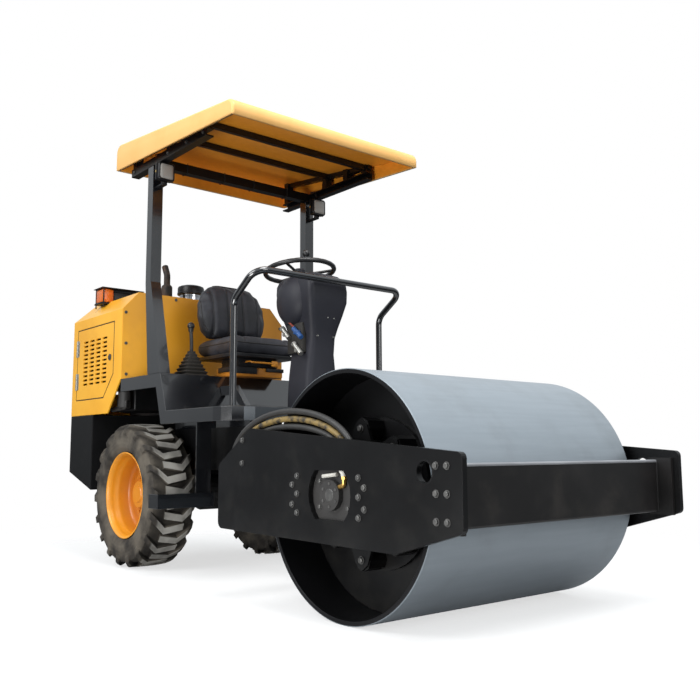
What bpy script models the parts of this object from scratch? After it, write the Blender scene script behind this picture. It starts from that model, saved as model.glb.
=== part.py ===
"""Single-drum road roller with a canopy, articulated between drum frame and tractor.

Metres, +X forward, +Y left, +Z up. The origin is on the ground below the middle of the
machine's length, and the machine stands straight, with its steering at zero.
"""

import math

import bmesh
import bpy
from mathutils import Matrix, Vector

# Running gear and overall length
DRUM_RADIUS = 0.46
DRUM_WIDTH = 1.152
WHEELBASE = 1.92
TYRE_RADIUS = 0.385
TYRE_WIDTH = 0.264
FRONT_REACH = 0.645  # drum axis to the tips of the side plates
REAR_REACH = 0.77  # wheel axis to the machine's back
BODY_HALF_WIDTH = 0.545  # hood, platform and ballast
PIVOT_BEHIND_DRUM = 0.96

LENGTH = FRONT_REACH + WHEELBASE + REAR_REACH
DRUM_X = LENGTH / 2 - FRONT_REACH
WHEEL_X = DRUM_X - WHEELBASE
REAR_X = WHEEL_X - REAR_REACH
PIVOT_X = DRUM_X - PIVOT_BEHIND_DRUM

SEAT_GAP = 0.0003  # between pieces that touch
RUN_GAP = 0.005  # between pieces that move past each other
PIN_GAP = 0.001  # round a pin or a spindle
OVERRUN = 0.02  # how far a cutter passes the face it cuts
ROUND_SIDES = 24
SMALL_SIDES = 12
FINE_SIDES = 8

# Drum: shell, end webs and the rubber-mounted carriers inside its ends
DRUM_WALL = 0.018
DRUM_SIDES = 72
WEB_SIDES = 36  # every second corner of the drum's
WEB_DEPTH = 0.196
WEB_THICKNESS = 0.02
DAMPER_DISC_RADIUS = 0.285
DAMPER_DISC_THICKNESS = 0.018
DAMPER_RADIUS = 0.042
DAMPER_LENGTH = 0.075
DAMPER_PITCH_RADIUS = 0.24
DAMPER_COUNT = 8
CARRIER_THICKNESS = 0.014
CARRIER_WAIST_RADIUS = 0.185
EAR_REACH = 0.04
LOBE_POINTS = 6
CARRIER_HUB_RADIUS = 0.12
EXCITER_RADIUS = 0.11
SHAFT_RADIUS = 0.05
SHAFT_REACH = 0.03  # of the drive's shaft into the carrier's hub
BEARING_GAP = 0.0005

# Drum frame: two side plates joined by a front beam and a rear cross member.
# Its heights are measured from the drum's axis.
PLATE_CLEARANCE = 0.042  # from the drum's end to the plate
PLATE_THICKNESS = 0.022
PLATE_OUTER_Y = DRUM_WIDTH / 2 + PLATE_CLEARANCE + PLATE_THICKNESS
PLATE_CORNER = 0.03
PLATE_TIP_CORNER = 0.02
PLATE_REAR = 0.762
PLATE_SHOULDER = 0.523
PLATE_KNEE = 0.345
PLATE_REAR_LOW = -0.165
PLATE_REAR_HIGH = 0.1
PLATE_SHOULDER_HIGH = 0.251
PLATE_TIP_HIGH = 0.152
PLATE_TIP_LOW = -0.089
PLATE_KNEE_LOW = -0.177
PORT_RADIUS = 0.121
PORT_HALF_HEIGHT = 0.088
PORT_POINTS = 7
EYE_FORWARD = 0.484
EYE_HIGH = 0.09
EYE_RADIUS = 0.035
BEAM_BACK = 0.52
BEAM_DEPTH = 0.04
BEAM_LOW_Z = DRUM_RADIUS - 0.09
BEAM_HEIGHT = 0.205
BEAM_EDGE = 0.008
BEAM_FLANGE_BACK = 0.522
BEAM_FLANGE_FRONT = 0.622
BEAM_FLANGE_THICKNESS = 0.016
BEAM_FLANGE_BORDER = 0.01
CROSS_BACK = 0.742
CROSS_DEPTH = 0.12
CROSS_LOW_Z = DRUM_RADIUS - 0.11
CROSS_HEIGHT = 0.2
PIVOT_RADIUS = 0.07
PIVOT_PIN_RADIUS = 0.03
YOKE_HALF_WIDTH = 0.1

# Drives bolted to the side plates, inside the drum's ends
MOUNT_HALF_LENGTH = 0.24
MOUNT_HALF_HEIGHT = 0.105
MOUNT_THICKNESS = 0.016
DRIVE_RADIUS = 0.105
MOTOR_RADIUS = 0.055
MOTOR_REACH = 0.02

# Hoses that loop over the right-hand side plate
HOSE_RADIUS = 0.012
HOSE_LINE_Y = DRUM_WIDTH / 2 + PLATE_CLEARANCE / 2
HOSE_COUNT = 3
HOSE_PITCH = 0.03
HOSE_STEPS = 14
HOSE_HIGH = 0.313  # the highest loop's line, above the drum's axis
HOSE_BLOCK_HEIGHT = 0.03
HOSE_END_BACK = 0.0  # from the drum axis
HOSE_END_FRONT = 0.12

# Wheels
TYRE_OUTER_Y = BODY_HALF_WIDTH + 0.011
TYRE_SIDES = 36
BEAD_RADIUS = 0.212
RIM_FLANGE_RADIUS = 0.2235
RIM_WIDTH = 0.21
RIM_WALL = 0.008
RIM_DISH = 0.12
RIM_HUB_RADIUS = 0.075
RIM_HUB_REACH = 0.045
RIM_STEP = 0.012
RIM_INNER_Y = TYRE_OUTER_Y - TYRE_WIDTH + 0.018  # the hub's inner face
BEAD_SHARE = 0.86
WALL_SHARE = 0.965
SHOULDER_SHARE = 0.92
TREAD_SHARE = 0.74
SHOULDER_DROP = 0.05
LUG_COUNT = 18  # from each shoulder
LUG_HEIGHT = 0.022
LUG_ROOT = 0.012
LUG_SHOULDER_DROP = 0.022
LUG_TOP_SHARE = 0.3  # of the pitch
LUG_FOOT_SHARE = 0.38
LUG_SHARES = ((-1.0, 0.0), (-0.35, 0.6), (0.45, 0.45))  # of the half-width, and of the pitch

# Tractor chassis
TYRE_TO_RAIL = 0.042
RAIL_OUTER_Y = TYRE_OUTER_Y - TYRE_WIDTH - TYRE_TO_RAIL
RAIL_WIDTH = 0.06
RAIL_LOW_Z = 0.52
RAIL_HIGH_Z = 0.74
NOSE_BEHIND_PIVOT = 0.17
NOSE_THICKNESS = 0.03
EAR_THICKNESS = 0.03
EAR_RADIUS = 0.075
EAR_CORNER_SHARE = 0.98
AXLE_RADIUS = 0.055
AXLE_CENTRE_RADIUS = 0.1
AXLE_PAD_HALF_LENGTH = 0.06
AXLE_FLANGE_RADIUS = 0.085
AXLE_FLANGE_THICKNESS = 0.02
AXLE_SIDES = 20
SPINDLE_RADIUS = 0.03
SPINDLE_LENGTH = 0.06
AXLE_CENTRE_HALF_LENGTH = 0.14
PAD_MARGIN = 0.008
PIN_HEAD = 0.012

# Operator's platform
FLOOR_Z = RAIL_HIGH_Z + 0.083
DECK_Z = FLOOR_Z + 0.197
DECK_FRONT = 0.405  # ahead of the wheel axis
DECK_SKIRT = 0.072
RISER_FOOT = 0.476
FLOOR_FRONT_X = PIVOT_X + 0.12
FLOOR_SKIRT = 0.067
FLOOR_CORNER = 0.14
SHEET = 0.008
LEG_WIDTH = 0.03
DECK_LEG = 0.045
FOOT_LEG = 0.054
STEP_FORWARD = 0.5  # from the wheel axis
STEP_DEPTH = 0.1
STEP_OUTER_Y = BODY_HALF_WIDTH + 0.07
STEP_INNER_Y = RAIL_OUTER_Y + 0.05
STEP_LOW_Z = 0.34
STEP_HEIGHT = 0.07
HANGER_WIDTH = 0.085
HANGER_THICKNESS = 0.012

# Ballast, hood and doors
HOOD_LOW_Z = 0.835
HOOD_SIDE_Z = 1.42
HOOD_TOP_Z = 1.523
HOOD_CHAMFER_Y = 0.095
HOOD_CHAMFER_X = 0.091
HOOD_WALL = 0.01
BULKHEAD_BEHIND_WHEEL = 0.065
BULKHEAD_LOW_Z = DECK_Z
BULKHEAD_THICKNESS = 0.01
CUT_BEHIND_WHEEL = 0.236
BALLAST_BEHIND_WHEEL = 0.442
BALLAST_LOW_Z = 0.398
BALLAST_REAR_LOW_Z = 0.496
DOOR_GAP = 0.006
DOOR_REAR_MARGIN = 0.074  # from the hood's back
DOOR_LENGTH = 0.52
DOOR_LOW_Z = HOOD_LOW_Z + 0.097
DOOR_HIGH_Z = HOOD_SIDE_Z - 0.064
DOOR_CUT_X = 0.125
DOOR_CUT_Z = 0.129
DOOR_CUT_SHARE = 0.4  # of the gap, at the cut corner
SLOT_COLUMNS = 4
SLOT_ROWS = 11
SLOT_LENGTH = 0.066
SLOT_HEIGHT = 0.012
SLOT_PITCH_X = 0.0913
SLOT_PITCH_Z = 0.0256
SLOT_MARGIN_X = 0.089
SLOT_MARGIN_Z = 0.073
VENT_ROWS = 9
VENT_LENGTH = 0.3
VENT_HEIGHT = 0.018
VENT_PITCH = 0.042
VENT_SPACE = 0.05
VENT_MARGIN_Z = 0.1
KNUCKLE_RADIUS = 0.006
KNUCKLE_LENGTH = 0.1
KNUCKLE_MARGIN = 0.06
ENGINE_LENGTH = 0.5
ENGINE_WIDTH = 0.46
ENGINE_HEIGHT = 0.48

# Canopy, its frame and posts
CANOPY_BEHIND_WHEEL = 0.112
CANOPY_LENGTH = 1.262
CANOPY_OVERHANG = 0.047
CANOPY_HALF_WIDTH = BODY_HALF_WIDTH + CANOPY_OVERHANG
CANOPY_FRONT_Z = 2.16
CANOPY_RISE = 0.062  # from its front rim to its rear rim
CANOPY_REAR_Z = CANOPY_FRONT_Z + CANOPY_RISE
CANOPY_REAR_RIM = 0.15
CANOPY_FRONT_RIM = 0.075
CANOPY_WALL = 0.02
CANOPY_ROOF = 0.02
CANOPY_REAR_ROUND = 0.06
CANOPY_FRONT_ROUND = 0.015
POST_WIDTH = 0.06
POST_Y = BODY_HALF_WIDTH - POST_WIDTH / 2
POST_FRONT = 0.27  # ahead of the wheel axis
POST_KINK_Z = DECK_Z + 0.5
POST_FOOT_FRONT = 0.4
POST_FOOT_DEPTH = 0.14
POST_TOP_Z = CANOPY_FRONT_Z
CHANNEL_WIDTH = 0.045
CHANNEL_HEIGHT = 0.045
CHANNEL_LENGTH = 0.83
CHANNEL_WALL = 0.007
CROSS_TUBE = 0.05
UPPER_RAIL_WIDTH = 0.03
UPPER_RAIL_HEIGHT = 0.026
UPPER_RAIL_INSET = 0.003
UPPER_BAR = 0.03
BAR_SHARES = (0.56, 0.98)  # of the channel's length, from its back
STAND_SHARES = (0.02, 0.5, 0.74, 0.94)
STAND_LENGTH = 0.04

# Lamps
LAMP_SIZE = 0.1
LAMP_DEPTH = 0.055
LAMP_EDGE = 0.015
LAMP_BELOW_POST = 0.055  # its middle, from the post's top
LAMP_FORWARD = 0.05  # from the post's front face
BRACKET_WIDTH = 0.024
BRACKET_DROP = 0.018
BRACKET_THICKNESS = 0.006
TURN_LAMP_BEHIND_WHEEL = 0.56
TURN_LAMP_DEPTH = 0.11
TURN_LAMP_WIDTH = 0.25
TURN_LAMP_INSET = 0.045  # from the hood's side
TURN_LAMP_HEIGHT = 0.08
VISOR_BORDER = 0.012

# Exhaust and air cleaner
STACK_BEHIND_WHEEL = 0.41
STACK_Y = -0.1
STACK_RADIUS = 0.034
STACK_HEIGHT = 0.14
OUTLET_RADIUS = 0.02
OUTLET_HEIGHT = 0.13
OUTLET_LEAN = 0.035
OUTLET_BEND = 0.03
CLEANER_BEHIND_WHEEL = 0.41
CLEANER_Y = 0.07
CLEANER_RADIUS = 0.07
CLEANER_HEIGHT = 0.16
LID_RADIUS = 0.086
LID_HEIGHT = 0.052
LID_CROWN = 0.016

# Seat
SEAT_FORWARD = 0.16  # its back, from the wheel axis
SEAT_LENGTH = 0.43
SEAT_HALF_WIDTH = 0.235
PEDESTAL_HALF_WIDTH = 0.15
PEDESTAL_HEIGHT = 0.05
SUSPENSION_HALF_WIDTH = 0.11
SUSPENSION_HEIGHT = 0.05
SEAT_PAN_HEIGHT = 0.02
PEDESTAL_BEHIND_FRONT = 0.09
CUSHION_THICKNESS = 0.09
CUSHION_EDGE = 0.03
BACK_THICKNESS = 0.12
BACK_HEIGHT = 0.36
BACK_LEAN_SHARE = 0.14  # backwards, of its height
BACK_SHARES = (  # of its height, thickness and half-width
    (0.0, 0.62, 0.78),
    (0.14, 0.9, 0.93),
    (0.36, 1.0, 1.0),
    (0.62, 0.94, 0.98),
    (0.82, 0.78, 0.86),
    (0.94, 0.56, 0.66),
    (1.0, 0.3, 0.42),
)
BACK_CORNER_SHARE = 0.45  # of the thickness

# Steering console and controls
CONSOLE_FRONT_MARGIN = 0.01  # behind the floor's front edge
CONSOLE_DEPTH = 0.185
CONSOLE_HALF_WIDTH = 0.098
CONSOLE_HEIGHT = 0.68
CONSOLE_CORNER = 0.02
CONSOLE_SHARES = (  # of its height, its depth to the back and to the front, and its half-width
    (0.0, 0.0, 1.0, 1.0),
    (0.34, 0.03, 1.0, 1.0),
    (0.56, -0.08, 1.1, 1.08),
    (0.78, -0.32, 1.29, 1.24),
    (0.92, -0.38, 1.27, 1.22),
    (0.97, -0.3, 1.14, 1.06),
    (1.0, -0.1, 0.9, 0.7),
)
SWELL_HIGH_SHARE = 0.79
SWELL_BACK_SHARE = 0.34
SWELL_LENGTH_SHARE = 0.5
SWELL_WIDTH_SHARE = 0.62
SWELL_HEIGHT_SHARE = 0.15
VALVE_SIZE = 0.044
VALVE_REACH = 0.03
VALVE_SHARES = ((0.62, 0.12), (0.55, 0.36))  # of the console's height and depth
WHEEL_RING_RADIUS = 0.178
WHEEL_RING_TUBE = 0.013
SPOKE_RADIUS = 0.008
COLUMN_RADIUS = 0.028
STEERING_Z = FLOOR_Z + CONSOLE_HEIGHT + 0.042
STEERING_BEHIND_FRONT = 0.21
STEERING_TILT = math.radians(-8)
SPINNER_TURN = math.radians(-25)
KNOB_RADIUS = 0.02
KNOB_STEM = 0.008
LEVER_FORWARD = 0.32  # from the wheel axis
LEVER_Y = -0.32
BELLOWS_RADIUS = 0.1
BELLOWS_HEIGHT = 0.12
BELLOWS_FOLDS = 6
FOLD_DEPTH_SHARE = 0.86
FOLD_WAY_SHARE = 0.45
LEVER_RADIUS = 0.011
LEVER_TOP_Z = DECK_Z + 0.275
LEVER_LEAN = 0.01
LEVER_KNOB_RADIUS = 0.02
PEDAL_Y = -0.19
PEDAL_THICKNESS = 0.03
PEDAL_HIGH = 0.14
PEDAL_LENGTH = 0.24
PEDAL_ARM = 0.05
PEDAL_SHARE = 0.42  # of its length, to the bend

# Handrail in front of the operator
RAIL_TUBE_RADIUS = 0.016
HANDRAIL_Y = BODY_HALF_WIDTH - 0.087
HANDRAIL_BEHIND_FRONT = 0.11
HANDRAIL_LEAN = 0.18
HANDRAIL_KNEE_Z = FLOOR_Z + 0.507
HANDRAIL_TOP_Z = FLOOR_Z + 0.627
HANDRAIL_BEND = 0.07

# Steering cylinder, on the left
CYLINDER_Z = CROSS_LOW_Z + 0.105
CYLINDER_REAR_X = 0.46  # behind the pivot
CYLINDER_REAR_Y = 0.15
CYLINDER_EYE_X = 0.03  # ahead of the pivot
CYLINDER_EYE_Y = 0.14
BARREL_RADIUS = 0.028
BARREL_LENGTH = 0.3
BORE_START = 0.05
ROD_RADIUS = 0.014
CYLINDER_EYE_RADIUS = 0.026
CYLINDER_PIN_RADIUS = 0.011
ROD_START = 0.13
BARREL_START = 0.034
NECK_RADIUS = 0.012
EYE_PIN_MARGIN = 0.002
NOSE_LOW_HALF_WIDTH = 0.085
LUG_THICKNESS = 0.012
CROSS_LUG_BACK = 0.031
CROSS_LUG_CORNER = 0.021
REAR_LUG_STRAP = 0.018

COLOURS = {  # red, green, blue, roughness, metallic
    "yellow": (0.85, 0.48, 0.05, 0.4, 0.0),
    "pale_yellow": (0.9, 0.6, 0.22, 0.45, 0.0),
    "rim_orange": (0.85, 0.36, 0.02, 0.35, 0.0),
    "black": (0.012, 0.012, 0.014, 0.4, 0.0),
    "drum_grey": (0.3, 0.36, 0.41, 0.45, 0.2),
    "rubber": (0.035, 0.033, 0.03, 0.85, 0.0),
    "vinyl": (0.02, 0.02, 0.023, 0.5, 0.0),
    "console": (0.035, 0.035, 0.043, 0.55, 0.0),
    "steel": (0.45, 0.45, 0.45, 0.35, 1.0),
    "iron": (0.08, 0.08, 0.08, 0.6, 0.6),
    "amber": (0.8, 0.22, 0.02, 0.2, 0.0),
}


def clear_scene():
    for thing in list(bpy.data.objects):
        bpy.data.objects.remove(thing, do_unlink=True)


def make_collection():
    collection = bpy.data.collections.new("road_roller")
    bpy.context.scene.collection.children.link(collection)
    return collection


clear_scene()
PARTS = make_collection()


def linked(name, data):
    thing = bpy.data.objects.new(name, data)
    PARTS.objects.link(thing)
    return thing


def evaluated_copy(thing):
    """The object's shape with its modifiers applied, as a plain mesh in world places."""
    bpy.context.view_layer.update()
    graph = bpy.context.evaluated_depsgraph_get()
    mesh = bpy.data.meshes.new_from_object(thing.evaluated_get(graph))
    mesh.transform(thing.matrix_world)
    solid = bmesh.new()
    solid.from_mesh(mesh)
    bmesh.ops.remove_doubles(solid, verts=solid.verts, dist=0.00002)
    bmesh.ops.recalc_face_normals(solid, faces=solid.faces)
    solid.to_mesh(mesh)
    solid.free()
    made = linked(thing.name, mesh)
    bpy.data.objects.remove(thing, do_unlink=True)
    return made


def box(x, y, z, edge=0.0):
    """A box between pairs of limits, with rounded edges where edge is given."""
    mesh = bpy.data.meshes.new("box")
    solid = bmesh.new()
    size = Vector((x[1] - x[0], y[1] - y[0], z[1] - z[0]))
    centre = Vector((x[0] + x[1], y[0] + y[1], z[0] + z[1])) / 2
    place = Matrix.Translation(centre) @ Matrix.Diagonal((*size, 1))
    bmesh.ops.create_cube(solid, size=1, matrix=place)
    if edge:
        bmesh.ops.bevel(
            solid, geom=solid.edges[:], offset=edge, segments=2, profile=0.5, affect="EDGES"
        )
    solid.to_mesh(mesh)
    solid.free()
    return linked("box", mesh)


def cylinder(start, end, radius, sides=ROUND_SIDES):
    """A cylinder from one centre to another."""
    start, end = Vector(start), Vector(end)
    axis = end - start
    place = Matrix.Translation((start + end) / 2) @ axis.to_track_quat("Z", "Y").to_matrix().to_4x4()
    mesh = bpy.data.meshes.new("cylinder")
    solid = bmesh.new()
    bmesh.ops.create_cone(
        solid,
        cap_ends=True,
        segments=sides,
        radius1=radius,
        radius2=radius,
        depth=axis.length,
        matrix=place,
    )
    solid.to_mesh(mesh)
    solid.free()
    return linked("cylinder", mesh)


def ball(centre, radii):
    """A ball, or an egg where its three radii differ."""
    mesh = bpy.data.meshes.new("ball")
    solid = bmesh.new()
    place = Matrix.Translation(centre) @ Matrix.Diagonal((*radii, 1))
    bmesh.ops.create_uvsphere(solid, u_segments=12, v_segments=8, radius=1, matrix=place)
    solid.to_mesh(mesh)
    solid.free()
    return linked("ball", mesh)


def rounded(corners):
    """An outline through corners (u, v, radius), each rounded by an arc of its radius."""
    outline = []
    for i, (u, v, radius) in enumerate(corners):
        here = Vector((u, v))
        back = Vector(corners[i - 1][:2]) - here
        ahead = Vector(corners[(i + 1) % len(corners)][:2]) - here
        if not radius:
            outline.append(here)
            continue
        half = back.angle(ahead) / 2
        reach = radius / math.tan(half)
        bisector = (back.normalized() + ahead.normalized()).normalized()
        centre = here + bisector * radius / math.sin(half)
        first = here + back.normalized() * reach - centre
        last = here + ahead.normalized() * reach - centre
        turn = first.angle_signed(last)
        steps = max(2, round(abs(turn) / math.radians(22.5)))
        for k in range(steps + 1):
            outline.append(centre + Matrix.Rotation(-turn * k / steps, 2) @ first)
    return outline


def circle(u, v, radius, sides=SMALL_SIDES):
    turns = [2 * math.pi * k / sides for k in range(sides)]
    return [Vector((u + radius * math.cos(t), v + radius * math.sin(t))) for t in turns]


FACING = {  # how a flat outline's u, v and thickness turn to X, Y and Z
    "X": Matrix(((0, 0, 1), (1, 0, 0), (0, 1, 0))).to_4x4(),
    "Y": Matrix(((1, 0, 0), (0, 0, -1), (0, 1, 0))).to_4x4(),
    "Z": Matrix.Identity(4),
}


def plate(outline, facing, start, end, holes=()):
    """A flat outline with holes, filled and extruded from start to end along its axis.

    The outline is (y, z) when it faces X, (x, z) when it faces Y and (x, y) facing Z.
    """
    curve = bpy.data.curves.new("plate", "CURVE")
    curve.dimensions = "2D"
    curve.fill_mode = "BOTH"
    curve.extrude = abs(end - start) / 2
    for loop in (outline, *holes):
        spline = curve.splines.new("POLY")
        spline.points.add(len(loop) - 1)
        for point, (u, v) in zip(spline.points, loop):
            point.co = (u, v, 0, 1)
        spline.use_cyclic_u = True
    thing = linked("plate", curve)
    middle = (start + end) / 2
    shift = Vector((0, 0, -middle if facing == "Y" else middle))
    thing.matrix_world = FACING[facing] @ Matrix.Translation(shift)
    return evaluated_copy(thing)


def turned(profile, centre, axis="Y", sides=ROUND_SIDES):
    """A profile of (distance along the axis, radius), turned round the axis through centre.

    It is closed, unless it starts and ends on the axis.
    """
    mesh = bpy.data.meshes.new("turned")
    points = [(radius, 0, along) for along, radius in profile]
    closing = [] if profile[0][1] == 0 else [(len(points) - 1, 0)]
    edges = [(i, i + 1) for i in range(len(points) - 1)] + closing
    mesh.from_pydata(points, edges, [])
    thing = linked("turned", mesh)
    screw = thing.modifiers.new("turn", "SCREW")
    screw.steps = sides
    screw.render_steps = sides
    screw.use_merge_vertices = True
    screw.merge_threshold = 0.00001
    screw.use_normal_calculate = True
    turn = Matrix.Rotation(math.radians(-90), 4, "X") if axis == "Y" else Matrix.Identity(4)
    thing.matrix_world = Matrix.Translation(centre) @ turn
    return evaluated_copy(thing)


def fillet_path(corners, radius):
    """A path through 3D corners, with every inner corner rounded by an arc."""
    points = [Vector(corners[0])]
    for before, here, after in zip(corners, corners[1:], corners[2:]):
        here = Vector(here)
        back = (Vector(before) - here).normalized()
        ahead = (Vector(after) - here).normalized()
        half = back.angle(ahead) / 2
        centre = here + (back + ahead).normalized() * radius / math.sin(half)
        first = here + back * radius / math.tan(half) - centre
        last = here + ahead * radius / math.tan(half) - centre
        turn = math.pi - 2 * half
        steps = max(2, math.ceil(turn / math.radians(18)))
        for k in range(steps + 1):
            points.append(centre + Matrix.Rotation(turn * k / steps, 3, first.cross(last)) @ first)
    points.append(Vector(corners[-1]))
    return points


def tube(path, radius, closed=False, resolution=3):
    """A round bar along a path, with filled ends."""
    curve = bpy.data.curves.new("tube", "CURVE")
    curve.dimensions = "3D"
    curve.bevel_depth = radius
    curve.bevel_resolution = resolution
    curve.use_fill_caps = not closed
    spline = curve.splines.new("POLY")
    spline.points.add(len(path) - 1)
    for point, place in zip(spline.points, path):
        point.co = (*place, 1)
    spline.use_cyclic_u = closed
    return evaluated_copy(linked("tube", curve))


def combine(target, others, operation):
    for other in others:
        modifier = target.modifiers.new(operation.lower(), "BOOLEAN")
        modifier.operation = operation
        modifier.solver = "EXACT"
        modifier.object = other
    made = evaluated_copy(target)
    for other in others:
        bpy.data.objects.remove(other, do_unlink=True)
    return made


def union(pieces):
    return combine(pieces[0], pieces[1:], "UNION") if len(pieces) > 1 else pieces[0]


def cut(target, cutters):
    return combine(target, cutters, "DIFFERENCE")


def common(first, second):
    return combine(first, [second], "INTERSECT")


def mirrored(thing):
    """A copy on the other side of the machine's middle plane."""
    mesh = thing.data.copy()
    mesh.transform(Matrix.Diagonal((1, -1, 1, 1)))
    mesh.flip_normals()
    return linked(thing.name, mesh)


def finish(name, thing, colour):
    """Names the object and gives it its own material and smooth round faces."""
    red, green, blue, roughness, metallic = COLOURS[colour]
    material = bpy.data.materials.new(name)
    material.use_nodes = True
    shader = material.node_tree.nodes["Principled BSDF"]
    shader.inputs["Base Color"].default_value = (red, green, blue, 1)
    shader.inputs["Roughness"].default_value = roughness
    shader.inputs["Metallic"].default_value = metallic
    thing.data.materials.clear()
    thing.data.materials.append(material)
    thing.data.shade_smooth()
    thing.data.set_sharp_from_angle(angle=math.radians(30))
    thing.name = name
    thing.data.name = name
    return thing


def pair(name, right, colour):
    """The right-hand piece and its mirror image on the left."""
    left = mirrored(right)
    return [finish(f"{name}_right", right, colour), finish(f"{name}_left", left, colour)]


def body(name, joint_place, pieces):
    """Hangs pieces on an empty that stands on their joint's axis."""
    empty = bpy.data.objects.new(name, None)
    PARTS.objects.link(empty)
    empty.location = joint_place
    for piece in pieces:
        piece.data.transform(Matrix.Translation(-Vector(joint_place)))
        piece.parent = empty
    return empty


def drum():
    """The drum's shell, its end webs with their damper carriers, and the exciter tube."""
    axis = (DRUM_X, 0, DRUM_RADIUS)
    half = DRUM_WIDTH / 2
    inner = DRUM_RADIUS - DRUM_WALL
    shell = turned(
        [(-half, DRUM_RADIUS), (half, DRUM_RADIUS), (half, inner), (-half, inner)],
        axis,
        sides=DRUM_SIDES,
    )
    web_out = half - WEB_DEPTH
    web_in = web_out - WEB_THICKNESS
    disc_out = web_out + DAMPER_DISC_THICKNESS
    damper_out = disc_out + DAMPER_LENGTH
    carrier_out = damper_out + CARRIER_THICKNESS
    hub_out = carrier_out + CARRIER_THICKNESS
    rim = inner - SEAT_GAP
    web = turned(
        [
            (-web_in, 0),
            (-web_in, rim),
            (-web_out, rim),
            (-web_out, DAMPER_DISC_RADIUS),
            (-disc_out, DAMPER_DISC_RADIUS),
            (-disc_out, 0),
        ],
        axis,
        sides=WEB_SIDES,
    )
    dampers = []
    for k in range(DAMPER_COUNT):
        turn = 2 * math.pi * k / DAMPER_COUNT
        x = DRUM_X + DAMPER_PITCH_RADIUS * math.cos(turn)
        z = DRUM_RADIUS + DAMPER_PITCH_RADIUS * math.sin(turn)
        start = (x, -disc_out + DAMPER_DISC_THICKNESS / 2, z)
        end = (x, -damper_out - CARRIER_THICKNESS / 2, z)
        dampers.append(cylinder(start, end, DAMPER_RADIUS, FINE_SIDES))
    star = []
    middle_radius = (CARRIER_WAIST_RADIUS + DAMPER_PITCH_RADIUS + EAR_REACH) / 2
    lobe = middle_radius - CARRIER_WAIST_RADIUS
    for k in range(DAMPER_COUNT * LOBE_POINTS):
        turn = 2 * math.pi * k / (DAMPER_COUNT * LOBE_POINTS)
        radius = middle_radius + lobe * math.cos(DAMPER_COUNT * turn)
        x = DRUM_X + radius * math.cos(turn)
        z = DRUM_RADIUS + radius * math.sin(turn)
        star.append(Vector((x, z)))
    carrier = plate(star, "Y", -carrier_out, -damper_out)
    hub_start = (DRUM_X, -disc_out + DAMPER_DISC_THICKNESS / 2, DRUM_RADIUS)
    hub = cylinder(hub_start, (DRUM_X, -hub_out, DRUM_RADIUS), CARRIER_HUB_RADIUS)
    bore_start = (DRUM_X, -hub_out + SHAFT_REACH + RUN_GAP, DRUM_RADIUS)
    bore = cylinder(bore_start, (DRUM_X, -hub_out - OVERRUN, DRUM_RADIUS), SHAFT_RADIUS + BEARING_GAP)
    web = cut(union([web, *dampers, carrier, hub]), [bore])
    tube_end = (DRUM_X, web_in - SEAT_GAP, DRUM_RADIUS)
    exciter = cylinder((DRUM_X, -web_in + SEAT_GAP, DRUM_RADIUS), tube_end, EXCITER_RADIUS)
    pieces = [finish("drum_shell", shell, "drum_grey"), *pair("drum_web", web, "black")]
    pieces.append(finish("exciter_tube", exciter, "iron"))
    body("drum_axis", axis, pieces)
    return hub_out


def side_plates():
    """The plates at the drum's ends, with the port over the drive and the small eye."""
    axis_z = DRUM_RADIUS
    outline = rounded(
        [
            (DRUM_X - PLATE_REAR, axis_z + PLATE_REAR_LOW, PLATE_CORNER),
            (DRUM_X + PLATE_KNEE, axis_z + PLATE_KNEE_LOW, PLATE_CORNER),
            (DRUM_X + FRONT_REACH, axis_z + PLATE_TIP_LOW, PLATE_TIP_CORNER),
            (DRUM_X + FRONT_REACH, axis_z + PLATE_TIP_HIGH, PLATE_TIP_CORNER),
            (DRUM_X - PLATE_SHOULDER, axis_z + PLATE_SHOULDER_HIGH, PLATE_CORNER),
            (DRUM_X - PLATE_REAR, axis_z + PLATE_REAR_HIGH, PLATE_CORNER),
        ]
    )
    sweep = math.asin(PORT_HALF_HEIGHT / PORT_RADIUS)
    port = []
    for side in (0, math.pi):
        for k in range(PORT_POINTS):
            turn = side + sweep * (2 * k / (PORT_POINTS - 1) - 1)
            x = DRUM_X + PORT_RADIUS * math.cos(turn)
            z = axis_z + PORT_RADIUS * math.sin(turn)
            port.append(Vector((x, z)))
    eye = circle(DRUM_X + EYE_FORWARD, axis_z + EYE_HIGH, EYE_RADIUS)
    right = plate(outline, "Y", -PLATE_OUTER_Y, -PLATE_OUTER_Y + PLATE_THICKNESS, [port, eye])
    return pair("side_plate", right, "black")


def front_beam():
    """A box beam ahead of the drum, with a bolting flange at each end."""
    inner = PLATE_OUTER_Y - PLATE_THICKNESS - SEAT_GAP
    high = BEAM_LOW_Z + BEAM_HEIGHT
    beam_end = inner - BEAM_FLANGE_THICKNESS / 2
    along = (DRUM_X + BEAM_BACK, DRUM_X + BEAM_BACK + BEAM_DEPTH)
    beam = box(along, (-beam_end, beam_end), (BEAM_LOW_Z, high), BEAM_EDGE)
    flange_x = (DRUM_X + BEAM_FLANGE_BACK, DRUM_X + BEAM_FLANGE_FRONT)
    flange_z = (BEAM_LOW_Z - BEAM_FLANGE_BORDER, high + BEAM_FLANGE_BORDER)
    flanges = []
    for side in (-1, 1):
        flange_y = sorted((side * inner, side * (inner - BEAM_FLANGE_THICKNESS)))
        flanges.append(box(flange_x, flange_y, flange_z))
    return finish("front_beam", union([beam, *flanges]), "black")


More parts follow.
